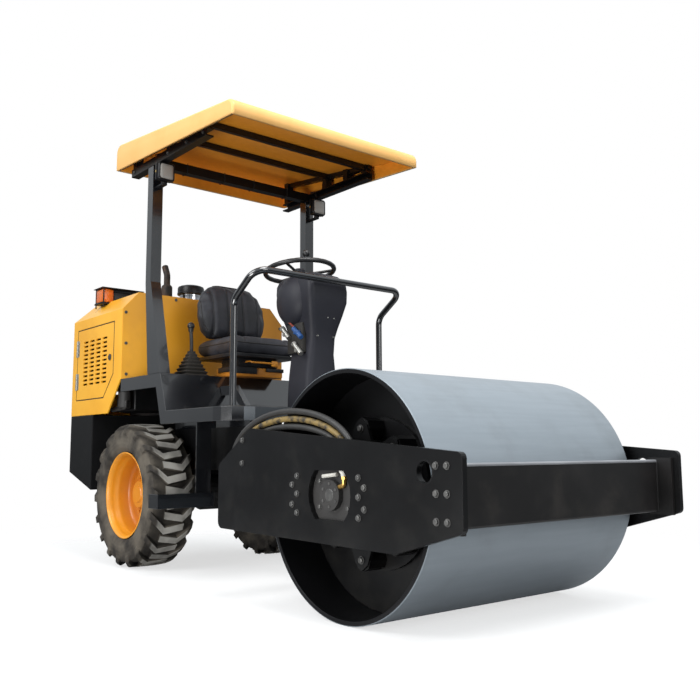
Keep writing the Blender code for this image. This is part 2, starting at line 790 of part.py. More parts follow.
def rear_cross_member():
    """The drum frame's rear box, with the pivot housing that the tractor's yoke holds."""
    inner = PLATE_OUTER_Y - PLATE_THICKNESS - SEAT_GAP
    back = DRUM_X - CROSS_BACK
    middle = back + CROSS_DEPTH / 2
    high = CROSS_LOW_Z + CROSS_HEIGHT
    beam = box((back, back + CROSS_DEPTH), (-inner, inner), (CROSS_LOW_Z, high), BEAM_EDGE)
    neck_z = (CROSS_LOW_Z + EAR_THICKNESS, high - EAR_THICKNESS)
    neck = box((PIVOT_X, middle), (-YOKE_HALF_WIDTH / 2, YOKE_HALF_WIDTH / 2), neck_z)
    housing = cylinder((PIVOT_X, 0, CROSS_LOW_Z), (PIVOT_X, 0, high), PIVOT_RADIUS)
    eye_half = CYLINDER_EYE_RADIUS / 2 + RUN_GAP
    lug_back = PIVOT_X + CYLINDER_EYE_X - CROSS_LUG_BACK
    lug_outline = rounded(
        [
            (middle, CYLINDER_EYE_Y - CYLINDER_EYE_RADIUS, 0),
            (middle, CYLINDER_EYE_Y + CYLINDER_EYE_RADIUS * 2, 0),
            (lug_back, CYLINDER_EYE_Y + CYLINDER_EYE_RADIUS, CROSS_LUG_CORNER),
            (lug_back, CYLINDER_EYE_Y - CYLINDER_EYE_RADIUS, CROSS_LUG_CORNER),
        ]
    )
    lugs = []
    for low in (CYLINDER_Z - eye_half - LUG_THICKNESS, CYLINDER_Z + eye_half):
        lugs.append(plate(lug_outline, "Z", low, low + LUG_THICKNESS))
    hole_low = (PIVOT_X, 0, CROSS_LOW_Z - OVERRUN)
    pin_hole = cylinder(hole_low, (PIVOT_X, 0, high + OVERRUN), PIVOT_PIN_RADIUS + PIN_GAP)
    member = cut(union([beam, neck, housing, *lugs]), [pin_hole])
    return finish("rear_cross_member", member, "black")


def drum_drives(hub_out):
    """A gearbox or bearing with its motor at each end, on a plate bolted inside the side plate."""
    plate_in = PLATE_OUTER_Y - PLATE_THICKNESS - SEAT_GAP
    mount_in = plate_in - MOUNT_THICKNESS
    mount = box(
        (DRUM_X - MOUNT_HALF_LENGTH, DRUM_X + MOUNT_HALF_LENGTH),
        (-plate_in, -mount_in),
        (DRUM_RADIUS - MOUNT_HALF_HEIGHT, DRUM_RADIUS + MOUNT_HALF_HEIGHT),
    )
    start = Vector((DRUM_X, -mount_in - MOUNT_THICKNESS / 2, DRUM_RADIUS))
    gearbox = cylinder(start, (DRUM_X, -hub_out - RUN_GAP, DRUM_RADIUS), DRIVE_RADIUS)
    start.y = -mount_in
    motor = cylinder(start, (DRUM_X, -plate_in - MOTOR_REACH, DRUM_RADIUS), MOTOR_RADIUS)
    shaft = cylinder(start, (DRUM_X, -hub_out + SHAFT_REACH, DRUM_RADIUS), SHAFT_RADIUS)
    return pair("drum_drive", union([mount, gearbox, motor, shaft]), "iron")


def drum_hoses():
    """Three nested hose loops from a block on the cross member to the drive's mount."""
    block_low = CROSS_LOW_Z + CROSS_HEIGHT + SEAT_GAP
    block_high = block_low + HOSE_BLOCK_HEIGHT
    back = DRUM_X - CROSS_BACK
    line = (-HOSE_LINE_Y - HOSE_RADIUS - PIN_GAP, -HOSE_LINE_Y + HOSE_RADIUS + PIN_GAP)
    block = box((back + BEAM_EDGE, back + CROSS_DEPTH - BEAM_EDGE), line, (block_low, block_high))
    mount_top = DRUM_RADIUS + MOUNT_HALF_HEIGHT + SEAT_GAP
    end_block = box(
        (DRUM_X + HOSE_END_BACK, DRUM_X + HOSE_END_FRONT), line, (mount_top, mount_top + HOSE_BLOCK_HEIGHT)
    )
    hoses = []
    for k in range(HOSE_COUNT):
        start_x = back + CROSS_DEPTH / 2 + (k - 1) * HOSE_PITCH
        end_x = DRUM_X + (HOSE_END_BACK + HOSE_END_FRONT) / 2 - (k - 1) * HOSE_PITCH
        top = DRUM_RADIUS + HOSE_HIGH - k * HOSE_PITCH
        middle = (start_x + end_x) / 2
        half = (end_x - start_x) / 2
        start_z = block_high - HOSE_BLOCK_HEIGHT / 2
        end_z = mount_top + HOSE_BLOCK_HEIGHT / 2
        path = []
        for i in range(HOSE_STEPS + 1):
            turn = math.pi * i / HOSE_STEPS
            foot = start_z if turn < math.pi / 2 else end_z
            x = middle - half * math.cos(turn)
            path.append((x, -HOSE_LINE_Y, foot + (top - foot) * math.sin(turn)))
        hoses.append(tube(path, HOSE_RADIUS, resolution=2))
    return finish("drum_hoses", union([block, end_block, *hoses]), "rubber")


def steering_cylinder():
    """The cylinder on the left that turns the drum frame, and where its barrel pivots."""
    rear = Vector((PIVOT_X - CYLINDER_REAR_X, CYLINDER_REAR_Y, CYLINDER_Z))
    eye = Vector((PIVOT_X + CYLINDER_EYE_X, CYLINDER_EYE_Y, CYLINDER_Z))
    along = (eye - rear).normalized()
    high = Vector((0, 0, CYLINDER_EYE_RADIUS))
    mouth = rear + along * BARREL_LENGTH
    barrel = union(
        [
            cylinder(rear + along * BARREL_START, mouth, BARREL_RADIUS),
            cylinder(
                rear + along * CYLINDER_EYE_RADIUS / 2,
                rear + along * (BARREL_START + PAD_MARGIN),
                NECK_RADIUS,
                SMALL_SIDES,
            ),
            cylinder(rear - high / 2, rear + high / 2, CYLINDER_EYE_RADIUS, SMALL_SIDES),
        ]
    )
    bore = cylinder(rear + along * BORE_START, mouth + along * OVERRUN, ROD_RADIUS + PIN_GAP, SMALL_SIDES)
    pin = cylinder(rear - high, rear + high, CYLINDER_PIN_RADIUS + PIN_GAP, SMALL_SIDES)
    barrel = cut(barrel, [bore, pin])
    rod = union(
        [
            cylinder(
                rear + along * ROD_START, eye - along * CYLINDER_EYE_RADIUS / 2, ROD_RADIUS, SMALL_SIDES
            ),
            cylinder(eye - high / 2, eye + high / 2, CYLINDER_EYE_RADIUS, SMALL_SIDES),
        ]
    )
    pin_half = high / 2 + Vector((0, 0, EYE_PIN_MARGIN))
    rod = union([rod, cylinder(eye - pin_half, eye + pin_half, CYLINDER_PIN_RADIUS, SMALL_SIDES)])
    body("steering_barrel_axis", rear, [finish("steering_barrel", barrel, "black")])
    body("steering_rod_axis", eye, [finish("steering_rod", rod, "steel")])


def rear_frame():
    """Two rails, the nose with the pivot's yoke and pin, and the cylinder's rear lugs."""
    nose = PIVOT_X - NOSE_BEHIND_PIVOT
    ballast_front = WHEEL_X - BALLAST_BEHIND_WHEEL
    ear_low = CROSS_LOW_Z - RUN_GAP
    ear_high = CROSS_LOW_Z + CROSS_HEIGHT + RUN_GAP
    pieces = [
        box((nose - NOSE_THICKNESS, nose), (-RAIL_OUTER_Y, RAIL_OUTER_Y), (RAIL_LOW_Z, RAIL_HIGH_Z)),
        box(
            (nose - NOSE_THICKNESS + PIN_GAP, nose - PIN_GAP),
            (-NOSE_LOW_HALF_WIDTH, NOSE_LOW_HALF_WIDTH),
            (ear_low - EAR_THICKNESS, RAIL_LOW_Z + OVERRUN),
        ),
    ]
    for side in (-1, 1):
        limits = sorted((side * RAIL_OUTER_Y, side * (RAIL_OUTER_Y - RAIL_WIDTH)))
        rail_x = (ballast_front + SEAT_GAP, nose - NOSE_THICKNESS / 2)
        pieces.append(box(rail_x, limits, (RAIL_LOW_Z, RAIL_HIGH_Z)))
        rail_in = RAIL_OUTER_Y - RAIL_WIDTH
        pad_side = sorted((side * (RAIL_OUTER_Y - PAD_MARGIN), side * (rail_in + PAD_MARGIN)))
        pad_low = TYRE_RADIUS + AXLE_RADIUS + SEAT_GAP
        pad_x = (WHEEL_X - AXLE_PAD_HALF_LENGTH, WHEEL_X + AXLE_PAD_HALF_LENGTH)
        pieces.append(box(pad_x, pad_side, (pad_low, RAIL_LOW_Z + OVERRUN)))
    for low in (ear_low - EAR_THICKNESS, ear_high):
        outline = rounded(
            [
                (nose - NOSE_THICKNESS / 2, -EAR_RADIUS, 0),
                (PIVOT_X + EAR_RADIUS, -EAR_RADIUS, EAR_RADIUS * EAR_CORNER_SHARE),
                (PIVOT_X + EAR_RADIUS, EAR_RADIUS, EAR_RADIUS * EAR_CORNER_SHARE),
                (nose - NOSE_THICKNESS / 2, EAR_RADIUS, 0),
            ]
        )
        pieces.append(plate(outline, "Z", low, low + EAR_THICKNESS))
    pin_low = (PIVOT_X, 0, ear_low - EAR_THICKNESS - PIN_HEAD)
    pin_high = (PIVOT_X, 0, ear_high + EAR_THICKNESS + PIN_HEAD)
    pieces.append(cylinder(pin_low, pin_high, PIVOT_PIN_RADIUS, SMALL_SIDES))
    cylinder_rear = Vector((PIVOT_X - CYLINDER_REAR_X, CYLINDER_REAR_Y, CYLINDER_Z))
    cylinder_half = CYLINDER_EYE_RADIUS / 2
    lug_back = cylinder_rear.x - CYLINDER_EYE_RADIUS
    for low in (CYLINDER_Z - cylinder_half - PIN_GAP - LUG_THICKNESS, CYLINDER_Z + cylinder_half + PIN_GAP):
        pieces.append(
            box(
                (lug_back - LUG_THICKNESS, cylinder_rear.x + CYLINDER_EYE_RADIUS),
                (CYLINDER_REAR_Y - CYLINDER_EYE_RADIUS, RAIL_OUTER_Y - PAD_MARGIN),
                (low, low + LUG_THICKNESS),
            )
        )
    pieces.append(
        box(
            (lug_back - REAR_LUG_STRAP, lug_back - RUN_GAP),
            (CYLINDER_REAR_Y - CYLINDER_EYE_RADIUS, RAIL_OUTER_Y - PAD_MARGIN),
            (CYLINDER_Z - cylinder_half - PIN_GAP - LUG_THICKNESS, RAIL_LOW_Z + OVERRUN),
        )
    )
    pieces.append(
        cylinder(
            cylinder_rear - Vector((0, 0, CYLINDER_EYE_RADIUS)),
            cylinder_rear + Vector((0, 0, CYLINDER_EYE_RADIUS)),
            CYLINDER_PIN_RADIUS,
            SMALL_SIDES,
        )
    )
    return finish("rear_frame", union(pieces), "black")


def rear_axle():
    """The axle between the wheels, with its centre housing, hub flanges and spindles."""
    flange_y = RIM_INNER_Y - SEAT_GAP
    profile = [
        (-flange_y - SPINDLE_LENGTH, 0),
        (-flange_y - SPINDLE_LENGTH, SPINDLE_RADIUS),
        (-flange_y + RUN_GAP, SPINDLE_RADIUS),
        (-flange_y + RUN_GAP, AXLE_FLANGE_RADIUS),
        (-flange_y + RUN_GAP + AXLE_FLANGE_THICKNESS, AXLE_FLANGE_RADIUS),
        (-flange_y + RUN_GAP + AXLE_FLANGE_THICKNESS, AXLE_RADIUS),
        (-AXLE_CENTRE_HALF_LENGTH, AXLE_RADIUS),
        (-AXLE_CENTRE_HALF_LENGTH / 2, AXLE_CENTRE_RADIUS),
    ]
    profile += [(-along, radius) for along, radius in reversed(profile)]
    axle = turned(profile, (WHEEL_X, 0, TYRE_RADIUS), sides=AXLE_SIDES)
    return finish("rear_axle", axle, "iron")


def lofted(name, rings):
    """A closed solid through rings of points, from the first ring to the last."""
    mesh = bpy.data.meshes.new(name)
    solid = bmesh.new()
    add_loft(solid, rings)
    bmesh.ops.recalc_face_normals(solid, faces=solid.faces)
    solid.to_mesh(mesh)
    solid.free()
    return linked(name, mesh)


def add_loft(solid, rings):
    made = [[solid.verts.new(point) for point in ring] for ring in rings]
    for first, second in zip(made, made[1:]):
        for i in range(len(first)):
            j = (i + 1) % len(first)
            solid.faces.new((first[i], first[j], second[j], second[i]))
    solid.faces.new(reversed(made[0]))
    solid.faces.new(made[-1])


def tyre_lugs(middle):
    """The bars of the tread: each leans in from a shoulder and bends back past the middle."""
    half = TYRE_WIDTH / 2
    pitch = 2 * math.pi / LUG_COUNT
    mesh = bpy.data.meshes.new("lugs")
    solid = bmesh.new()
    for flank in (-1, 1):
        for k in range(LUG_COUNT):
            first = (k + flank / 4) * pitch
            rings = []
            for across, turn in LUG_SHARES:
                drop = LUG_SHOULDER_DROP if across == LUG_SHARES[0][0] else 0
                high = TYRE_RADIUS - drop
                foot = high - LUG_HEIGHT - LUG_ROOT
                ring = []
                for side, radius, share in (
                    (-1, foot, LUG_FOOT_SHARE),
                    (1, foot, LUG_FOOT_SHARE),
                    (1, high, LUG_TOP_SHARE),
                    (-1, high, LUG_TOP_SHARE),
                ):
                    angle = first + (turn + side * share / 2) * pitch
                    x = WHEEL_X + radius * math.sin(angle)
                    z = TYRE_RADIUS + radius * math.cos(angle)
                    ring.append((x, middle + flank * across * half, z))
                rings.append(ring)
            add_loft(solid, rings)
    bmesh.ops.recalc_face_normals(solid, faces=solid.faces)
    solid.to_mesh(mesh)
    solid.free()
    return linked("lugs", mesh)


def wheels():
    """A lugged tyre and a deep-dished rim with its hub on each side."""
    centre = (WHEEL_X, 0, TYRE_RADIUS)
    middle = -TYRE_OUTER_Y + TYRE_WIDTH / 2
    half = TYRE_WIDTH / 2
    flange = RIM_FLANGE_RADIUS + SEAT_GAP + RIM_WALL
    section = [
        (middle - RIM_WIDTH / 2, BEAD_RADIUS + RIM_WALL),
        (middle - RIM_WIDTH / 2, flange),
        (middle - half * BEAD_SHARE, flange),
        (middle - half * WALL_SHARE, (BEAD_RADIUS + TYRE_RADIUS) / 2),
        (middle - half * SHOULDER_SHARE, TYRE_RADIUS - SHOULDER_DROP),
        (middle - half * TREAD_SHARE, TYRE_RADIUS - LUG_HEIGHT),
    ]
    section += [(2 * middle - along, radius) for along, radius in reversed(section)]
    tyre = union([turned(section, centre, sides=TYRE_SIDES), tyre_lugs(middle)])
    outer = middle - RIM_WIDTH / 2
    inner = middle + RIM_WIDTH / 2
    dish = outer + RIM_DISH
    disc_in = dish + RIM_STEP
    hub_out = dish - RIM_HUB_REACH
    bore = SPINDLE_RADIUS + PIN_GAP
    rim_out = BEAD_RADIUS + RIM_WALL - SEAT_GAP
    rim_in = rim_out - RIM_WALL
    rim = turned(
        [
            (outer - RIM_WALL, RIM_FLANGE_RADIUS + RIM_WALL),
            (outer - RIM_WALL - SEAT_GAP, rim_in),
            (dish, rim_in - RIM_STEP),
            (dish, RIM_HUB_RADIUS),
            (hub_out, RIM_HUB_RADIUS),
            (hub_out, bore),
            (-RIM_INNER_Y, bore),
            (-RIM_INNER_Y, RIM_HUB_RADIUS),
            (disc_in, RIM_HUB_RADIUS),
            (disc_in, rim_in - RIM_STEP),
            (inner + RIM_WALL, rim_in),
            (inner + RIM_WALL, RIM_FLANGE_RADIUS + RIM_WALL),
            (inner + SEAT_GAP, RIM_FLANGE_RADIUS + RIM_WALL),
            (inner + SEAT_GAP, rim_out),
            (outer - SEAT_GAP, rim_out),
            (outer - SEAT_GAP, RIM_FLANGE_RADIUS + RIM_WALL),
        ],
        centre,
        sides=TYRE_SIDES,
    )
    left = [mirrored(tyre), mirrored(rim)]
    for side, sign, (rubber, metal) in (("right", 1, (tyre, rim)), ("left", -1, left)):
        rubber = finish(f"tyre_{side}", rubber, "rubber")
        metal = finish(f"rim_{side}", metal, "rim_orange")
        body(f"wheel_{side}_axis", (WHEEL_X, sign * middle, TYRE_RADIUS), [rubber, metal])


def hood_section(wall):
    """Half-sections of the hood: its side view and its end view, inset by a wall."""
    back = REAR_X + wall
    front = WHEEL_X - BULKHEAD_BEHIND_WHEEL - BULKHEAD_THICKNESS - SEAT_GAP
    slope = wall * math.tan(math.radians(22.5))
    top = HOOD_TOP_Z - wall
    low = HOOD_LOW_Z - (OVERRUN if wall else 0)
    ahead = front + (OVERRUN if wall else 0)
    cut_back = WHEEL_X - CUT_BEHIND_WHEEL
    side = [
        (back, low),
        (cut_back, low),
        (ahead, BULKHEAD_LOW_Z + (front - ahead)),
        (ahead, top),
        (back + HOOD_CHAMFER_X - slope, top),
        (back, HOOD_SIDE_Z - slope),
    ]
    across = BODY_HALF_WIDTH - wall
    end = [
        (-across, low),
        (across, low),
        (across, HOOD_SIDE_Z - slope),
        (across - HOOD_CHAMFER_Y + slope, top),
        (-across + HOOD_CHAMFER_Y - slope, top),
        (-across, HOOD_SIDE_Z - slope),
    ]
    return side, end, across, back, ahead


def door_outline(gap):
    """The door's five-sided outline, grown by the gap round it."""
    back = REAR_X + DOOR_REAR_MARGIN
    front = back + DOOR_LENGTH
    return [
        (back - gap, DOOR_LOW_Z - gap),
        (front - DOOR_CUT_X + gap * DOOR_CUT_SHARE, DOOR_LOW_Z - gap),
        (front + gap, DOOR_LOW_Z + DOOR_CUT_Z - gap * DOOR_CUT_SHARE),
        (front + gap, DOOR_HIGH_Z + gap),
        (back - gap, DOOR_HIGH_Z + gap),
    ]


def slot(low_u, low_v, length, height):
    """The outline of one slot, from its lower corner."""
    high_u, high_v = low_u + length, low_v + height
    return [Vector(p) for p in ((low_u, low_v), (high_u, low_v), (high_u, high_v), (low_u, high_v))]


def door_slots():
    """The grille in a door: rows of short slots."""
    slots = []
    for column in range(SLOT_COLUMNS):
        x = REAR_X + DOOR_REAR_MARGIN + SLOT_MARGIN_X + column * SLOT_PITCH_X
        for row in range(SLOT_ROWS):
            z = DOOR_HIGH_Z - SLOT_MARGIN_Z - row * SLOT_PITCH_Z
            slots.append(slot(x, z - SLOT_HEIGHT, SLOT_LENGTH, SLOT_HEIGHT))
    outer = -BODY_HALF_WIDTH - OVERRUN
    return plate(slots[0], "Y", outer, -BODY_HALF_WIDTH + HOOD_WALL + OVERRUN, slots[1:])


def rear_vents():
    """The slots behind the radiator, in the hood's back."""
    slots = []
    for y in (-VENT_SPACE / 2 - VENT_LENGTH, VENT_SPACE / 2):
        for row in range(VENT_ROWS):
            z = HOOD_SIDE_Z - VENT_MARGIN_Z - row * VENT_PITCH
            slots.append(slot(y, z, VENT_LENGTH, VENT_HEIGHT))
    return plate(slots[0], "X", REAR_X - OVERRUN, REAR_X + HOOD_WALL + OVERRUN, slots[1:])


def hood_and_doors():
    """The sheet-metal hood with its bulkhead, and the hinged doors in its sides."""
    solids = []
    for wall in (0, HOOD_WALL):
        side, end, across, back, ahead = hood_section(wall)
        long_part = plate([Vector(p) for p in side], "Y", -across - OVERRUN, across + OVERRUN)
        wide_part = plate([Vector(p) for p in end], "X", back - OVERRUN, ahead + OVERRUN)
        solids.append(common(long_part, wide_part))
    hood = cut(solids[0], [solids[1]])
    outer = BODY_HALF_WIDTH + OVERRUN
    opening = plate([Vector(p) for p in door_outline(DOOR_GAP)], "Y", -outer, outer)
    finish("hood", cut(hood, [opening, rear_vents()]), "yellow")
    side, end, across, back, ahead = hood_section(0)
    outline = [Vector((y, max(z, BULKHEAD_LOW_Z))) for y, z in end]
    front = WHEEL_X - BULKHEAD_BEHIND_WHEEL
    finish("hood_bulkhead", plate(outline, "X", front - BULKHEAD_THICKNESS, front), "yellow")
    outline = [Vector(p) for p in door_outline(0)]
    inner = -BODY_HALF_WIDTH + HOOD_WALL
    door = cut(plate(outline, "Y", -BODY_HALF_WIDTH, inner), [door_slots()])
    hinge_x = REAR_X + DOOR_REAR_MARGIN
    hinge_y = -BODY_HALF_WIDTH - KNUCKLE_RADIUS / 2
    knuckles = []
    for low in (DOOR_LOW_Z + KNUCKLE_MARGIN, DOOR_HIGH_Z - KNUCKLE_MARGIN - KNUCKLE_LENGTH):
        foot = Vector((hinge_x, hinge_y, low))
        top = foot + Vector((0, 0, KNUCKLE_LENGTH))
        knuckles.append(cylinder(foot, top, KNUCKLE_RADIUS, SMALL_SIDES))
    right = union([door, *knuckles])
    left = mirrored(right)
    middle = (DOOR_LOW_Z + DOOR_HIGH_Z) / 2
    right = finish("hood_door_right", right, "yellow")
    left = finish("hood_door_left", left, "yellow")
    body("right_door_axis", (hinge_x, hinge_y, middle), [right])
    body("left_door_axis", (hinge_x, -hinge_y, middle), [left])


def counterweight():
    """The ballast that closes the tractor's back, below the hood."""
    front = WHEEL_X - BALLAST_BEHIND_WHEEL
    high = HOOD_LOW_Z - SEAT_GAP
    outline = rounded(
        [
            (REAR_X, BALLAST_REAR_LOW_Z, 0),
            (front, BALLAST_LOW_Z, 0),
            (front, high, 0),
            (REAR_X, high, 0),
        ]
    )
    finish("counterweight", plate(outline, "Y", -BODY_HALF_WIDTH, BODY_HALF_WIDTH), "black")


def engine():
    back = REAR_X + (REAR_REACH - BALLAST_BEHIND_WHEEL) / 2
    half = ENGINE_WIDTH / 2
    low = HOOD_LOW_Z + SEAT_GAP
    block = box((back, back + ENGINE_LENGTH), (-half, half), (low, low + ENGINE_HEIGHT))
    finish("engine_block", block, "iron")


def platform():
    """The folded deck under the seat, the floor tray with its skirt, and the steps."""
    deck_back = WHEEL_X - BULKHEAD_BEHIND_WHEEL + SEAT_GAP
    deck_front = WHEEL_X + DECK_FRONT
    foot = WHEEL_X + RISER_FOOT
    floor_front = FLOOR_FRONT_X
    skirt_low = FLOOR_Z - FLOOR_SKIRT
    half = BODY_HALF_WIDTH
    folded = [
        (deck_back, DECK_Z - SHEET),
        (deck_front - SHEET, DECK_Z - SHEET),
        (foot - SHEET, FLOOR_Z - SHEET),
        (foot + SHEET, FLOOR_Z - SHEET),
        (foot + SHEET, FLOOR_Z),
        (foot, FLOOR_Z),
        (deck_front, DECK_Z),
        (deck_back, DECK_Z),
    ]
    pieces = [plate([Vector(p) for p in folded], "Y", -half, half)]
    side = [
        (deck_back, DECK_Z - DECK_SKIRT),
        (deck_front - DECK_LEG, DECK_Z - DECK_SKIRT),
        (foot - FOOT_LEG, skirt_low),
        (foot + SHEET, skirt_low),
        (foot + SHEET, FLOOR_Z - SHEET / 2),
        (foot - SHEET / 2, FLOOR_Z - SHEET / 2),
        (deck_front - SHEET / 2, DECK_Z - SHEET / 2),
        (deck_back, DECK_Z - SHEET / 2),
    ]
    for outer in (-half, half - SHEET):
        pieces.append(plate([Vector(p) for p in side], "Y", outer, outer + SHEET))
    tray = plate(
        rounded(
            [
                (foot, -half, 0),
                (floor_front, -half, FLOOR_CORNER),
                (floor_front, half, FLOOR_CORNER),
                (foot, half, 0),
            ]
        ),
        "Z",
        skirt_low,
        FLOOR_Z,
    )
    hollow = plate(
        rounded(
            [
                (foot - OVERRUN, -half + SHEET, 0),
                (floor_front - SHEET, -half + SHEET, FLOOR_CORNER - SHEET),
                (floor_front - SHEET, half - SHEET, FLOOR_CORNER - SHEET),
                (foot - OVERRUN, half - SHEET, 0),
            ]
        ),
        "Z",
        skirt_low - OVERRUN,
        FLOOR_Z - SHEET,
    )
    pieces.append(cut(tray, [hollow]))
    nose = PIVOT_X - NOSE_BEHIND_PIVOT
    rail_in = RAIL_OUTER_Y - RAIL_WIDTH
    rib_low = RAIL_HIGH_Z + SEAT_GAP
    step_x = WHEEL_X + STEP_FORWARD
    tread_x = (step_x - STEP_DEPTH / 2, step_x + STEP_DEPTH / 2)
    hanger_z = (STEP_LOW_Z + STEP_HEIGHT / 2, FLOOR_Z - SHEET / 2)
    for sign in (-1, 1):
        rib = sorted((sign * (RAIL_OUTER_Y - PAD_MARGIN), sign * (rail_in + PAD_MARGIN)))
        pieces.append(box((foot - OVERRUN, nose), rib, (rib_low, FLOOR_Z - SHEET / 2)))
        deck_rib_x = (deck_back + DECK_SKIRT, deck_front - LEG_WIDTH)
        pieces.append(box(deck_rib_x, rib, (rib_low, DECK_Z - SHEET / 2)))
        tread_y = sorted((sign * STEP_INNER_Y, sign * STEP_OUTER_Y))
        pieces.append(box(tread_x, tread_y, (STEP_LOW_Z, STEP_LOW_Z + STEP_HEIGHT)))
        hanger_y = sorted((sign * STEP_INNER_Y, sign * (STEP_INNER_Y + HANGER_WIDTH)))
        pieces.append(box((step_x, step_x + HANGER_THICKNESS), hanger_y, hanger_z))
    return finish("operator_platform", union(pieces), "black")


def posts():
    """A canopy post on each side: an upright on a leaning, widening foot."""
    front = WHEEL_X + POST_FRONT
    back = front - POST_WIDTH
    foot_front = WHEEL_X + POST_FOOT_FRONT
    outline = [
        (foot_front - POST_FOOT_DEPTH, DECK_Z + SEAT_GAP),
        (foot_front, DECK_Z + SEAT_GAP),
        (front, POST_KINK_Z),
        (front, POST_TOP_Z),
        (back, POST_TOP_Z),
        (back, POST_KINK_Z),
    ]
    half = POST_WIDTH / 2
    right = plate([Vector(p) for p in outline], "Y", -POST_Y - half, -POST_Y + half)
    pair("canopy_post", right, "black")


def canopy():
    """The canopy's moulded shell, a shallow tray turned over."""
    back = WHEEL_X - CANOPY_BEHIND_WHEEL
    front = back + CANOPY_LENGTH
    shells = []
    for inset in (0, CANOPY_WALL):
        low_shift = OVERRUN if inset else 0
        roof = CANOPY_ROOF if inset else 0
        rear_high = CANOPY_REAR_Z + CANOPY_REAR_RIM - roof
        front_high = CANOPY_FRONT_Z + CANOPY_FRONT_RIM - roof
        outline = rounded(
            [
                (back + inset, CANOPY_REAR_Z - low_shift, 0),
                (front - inset, CANOPY_FRONT_Z - low_shift, 0),
                (front - inset, front_high, CANOPY_FRONT_ROUND),
                (back + inset, rear_high, CANOPY_REAR_ROUND - inset),
            ]
        )
        half = CANOPY_HALF_WIDTH - inset
        shells.append(plate(outline, "Y", -half, half))
    finish("canopy_roof", cut(shells[0], [shells[1]]), "pale_yellow")


def canopy_inside(x):
    """Height of the canopy's inner face at a place along the machine."""
    back = WHEEL_X - CANOPY_BEHIND_WHEEL + CANOPY_WALL
    share = (x - back) / (CANOPY_LENGTH - CANOPY_WALL * 2)
    rear_high = CANOPY_REAR_Z + CANOPY_REAR_RIM - CANOPY_ROOF
    front_high = CANOPY_FRONT_Z + CANOPY_FRONT_RIM - CANOPY_ROOF
    return rear_high + (front_high - rear_high) * share


def under_roof(start, end, drop, thickness, y):
    """A bar whose top follows the canopy's inner face, a drop below it."""
    outline = [
        Vector((start, canopy_inside(start) - drop - thickness)),
        Vector((end, canopy_inside(end) - drop - thickness)),
        Vector((end, canopy_inside(end) - drop)),
        Vector((start, canopy_inside(start) - drop)),
    ]
    return plate(outline, "Y", *y)


def canopy_frame():
    """Channels on the posts' tops, with stands, rails and cross bars under the roof."""
    back = WHEEL_X
    front = back + CHANNEL_LENGTH
    post_front = WHEEL_X + POST_FRONT
    low = POST_TOP_Z + SEAT_GAP
    high = low + CHANNEL_HEIGHT
    outer = BODY_HALF_WIDTH
    inner = outer - CHANNEL_WIDTH
    wall = CHANNEL_WALL
    web = outer - wall
    section = [
        (outer, low),
        (outer, high),
        (inner, high),
        (inner, high - wall),
        (web, high - wall),
        (web, low + wall),
        (inner, low + wall),
        (inner, low),
    ]
    rail_out = outer - UPPER_RAIL_INSET
    rail_in = rail_out - UPPER_RAIL_WIDTH
    bar_end = (rail_out + rail_in) / 2
    pieces = []
    for sign in (-1, 1):
        pieces.append(plate([Vector((sign * y, z)) for y, z in section], "X", back, front))
        rail_y = sorted((sign * rail_out, sign * rail_in))
        pieces.append(under_roof(back, front, PIN_GAP, UPPER_RAIL_HEIGHT, rail_y))
        stand_y = sorted((sign * (outer - PIN_GAP), sign * (inner + PIN_GAP)))
        for share in STAND_SHARES:
            start = back + CHANNEL_LENGTH * share
            end = start + STAND_LENGTH
            foot = high - wall / 2
            outline = [
                Vector((start, foot)),
                Vector((end, foot)),
                Vector((end, canopy_inside(end) - SEAT_GAP)),
                Vector((start, canopy_inside(start) - SEAT_GAP)),
            ]
            pieces.append(plate(outline, "Y", *stand_y))
    tube_x = (post_front - CROSS_TUBE, post_front)
    pieces.append(box(tube_x, (-web - PIN_GAP, web + PIN_GAP), (low + PIN_GAP, low + CROSS_TUBE)))
    for share in BAR_SHARES:
        end = back + CHANNEL_LENGTH * share
        bar_y = (-bar_end, bar_end)
        pieces.append(under_roof(end - UPPER_BAR, end, UPPER_RAIL_INSET, UPPER_BAR, bar_y))
    return finish("canopy_frame", union(pieces), "black")


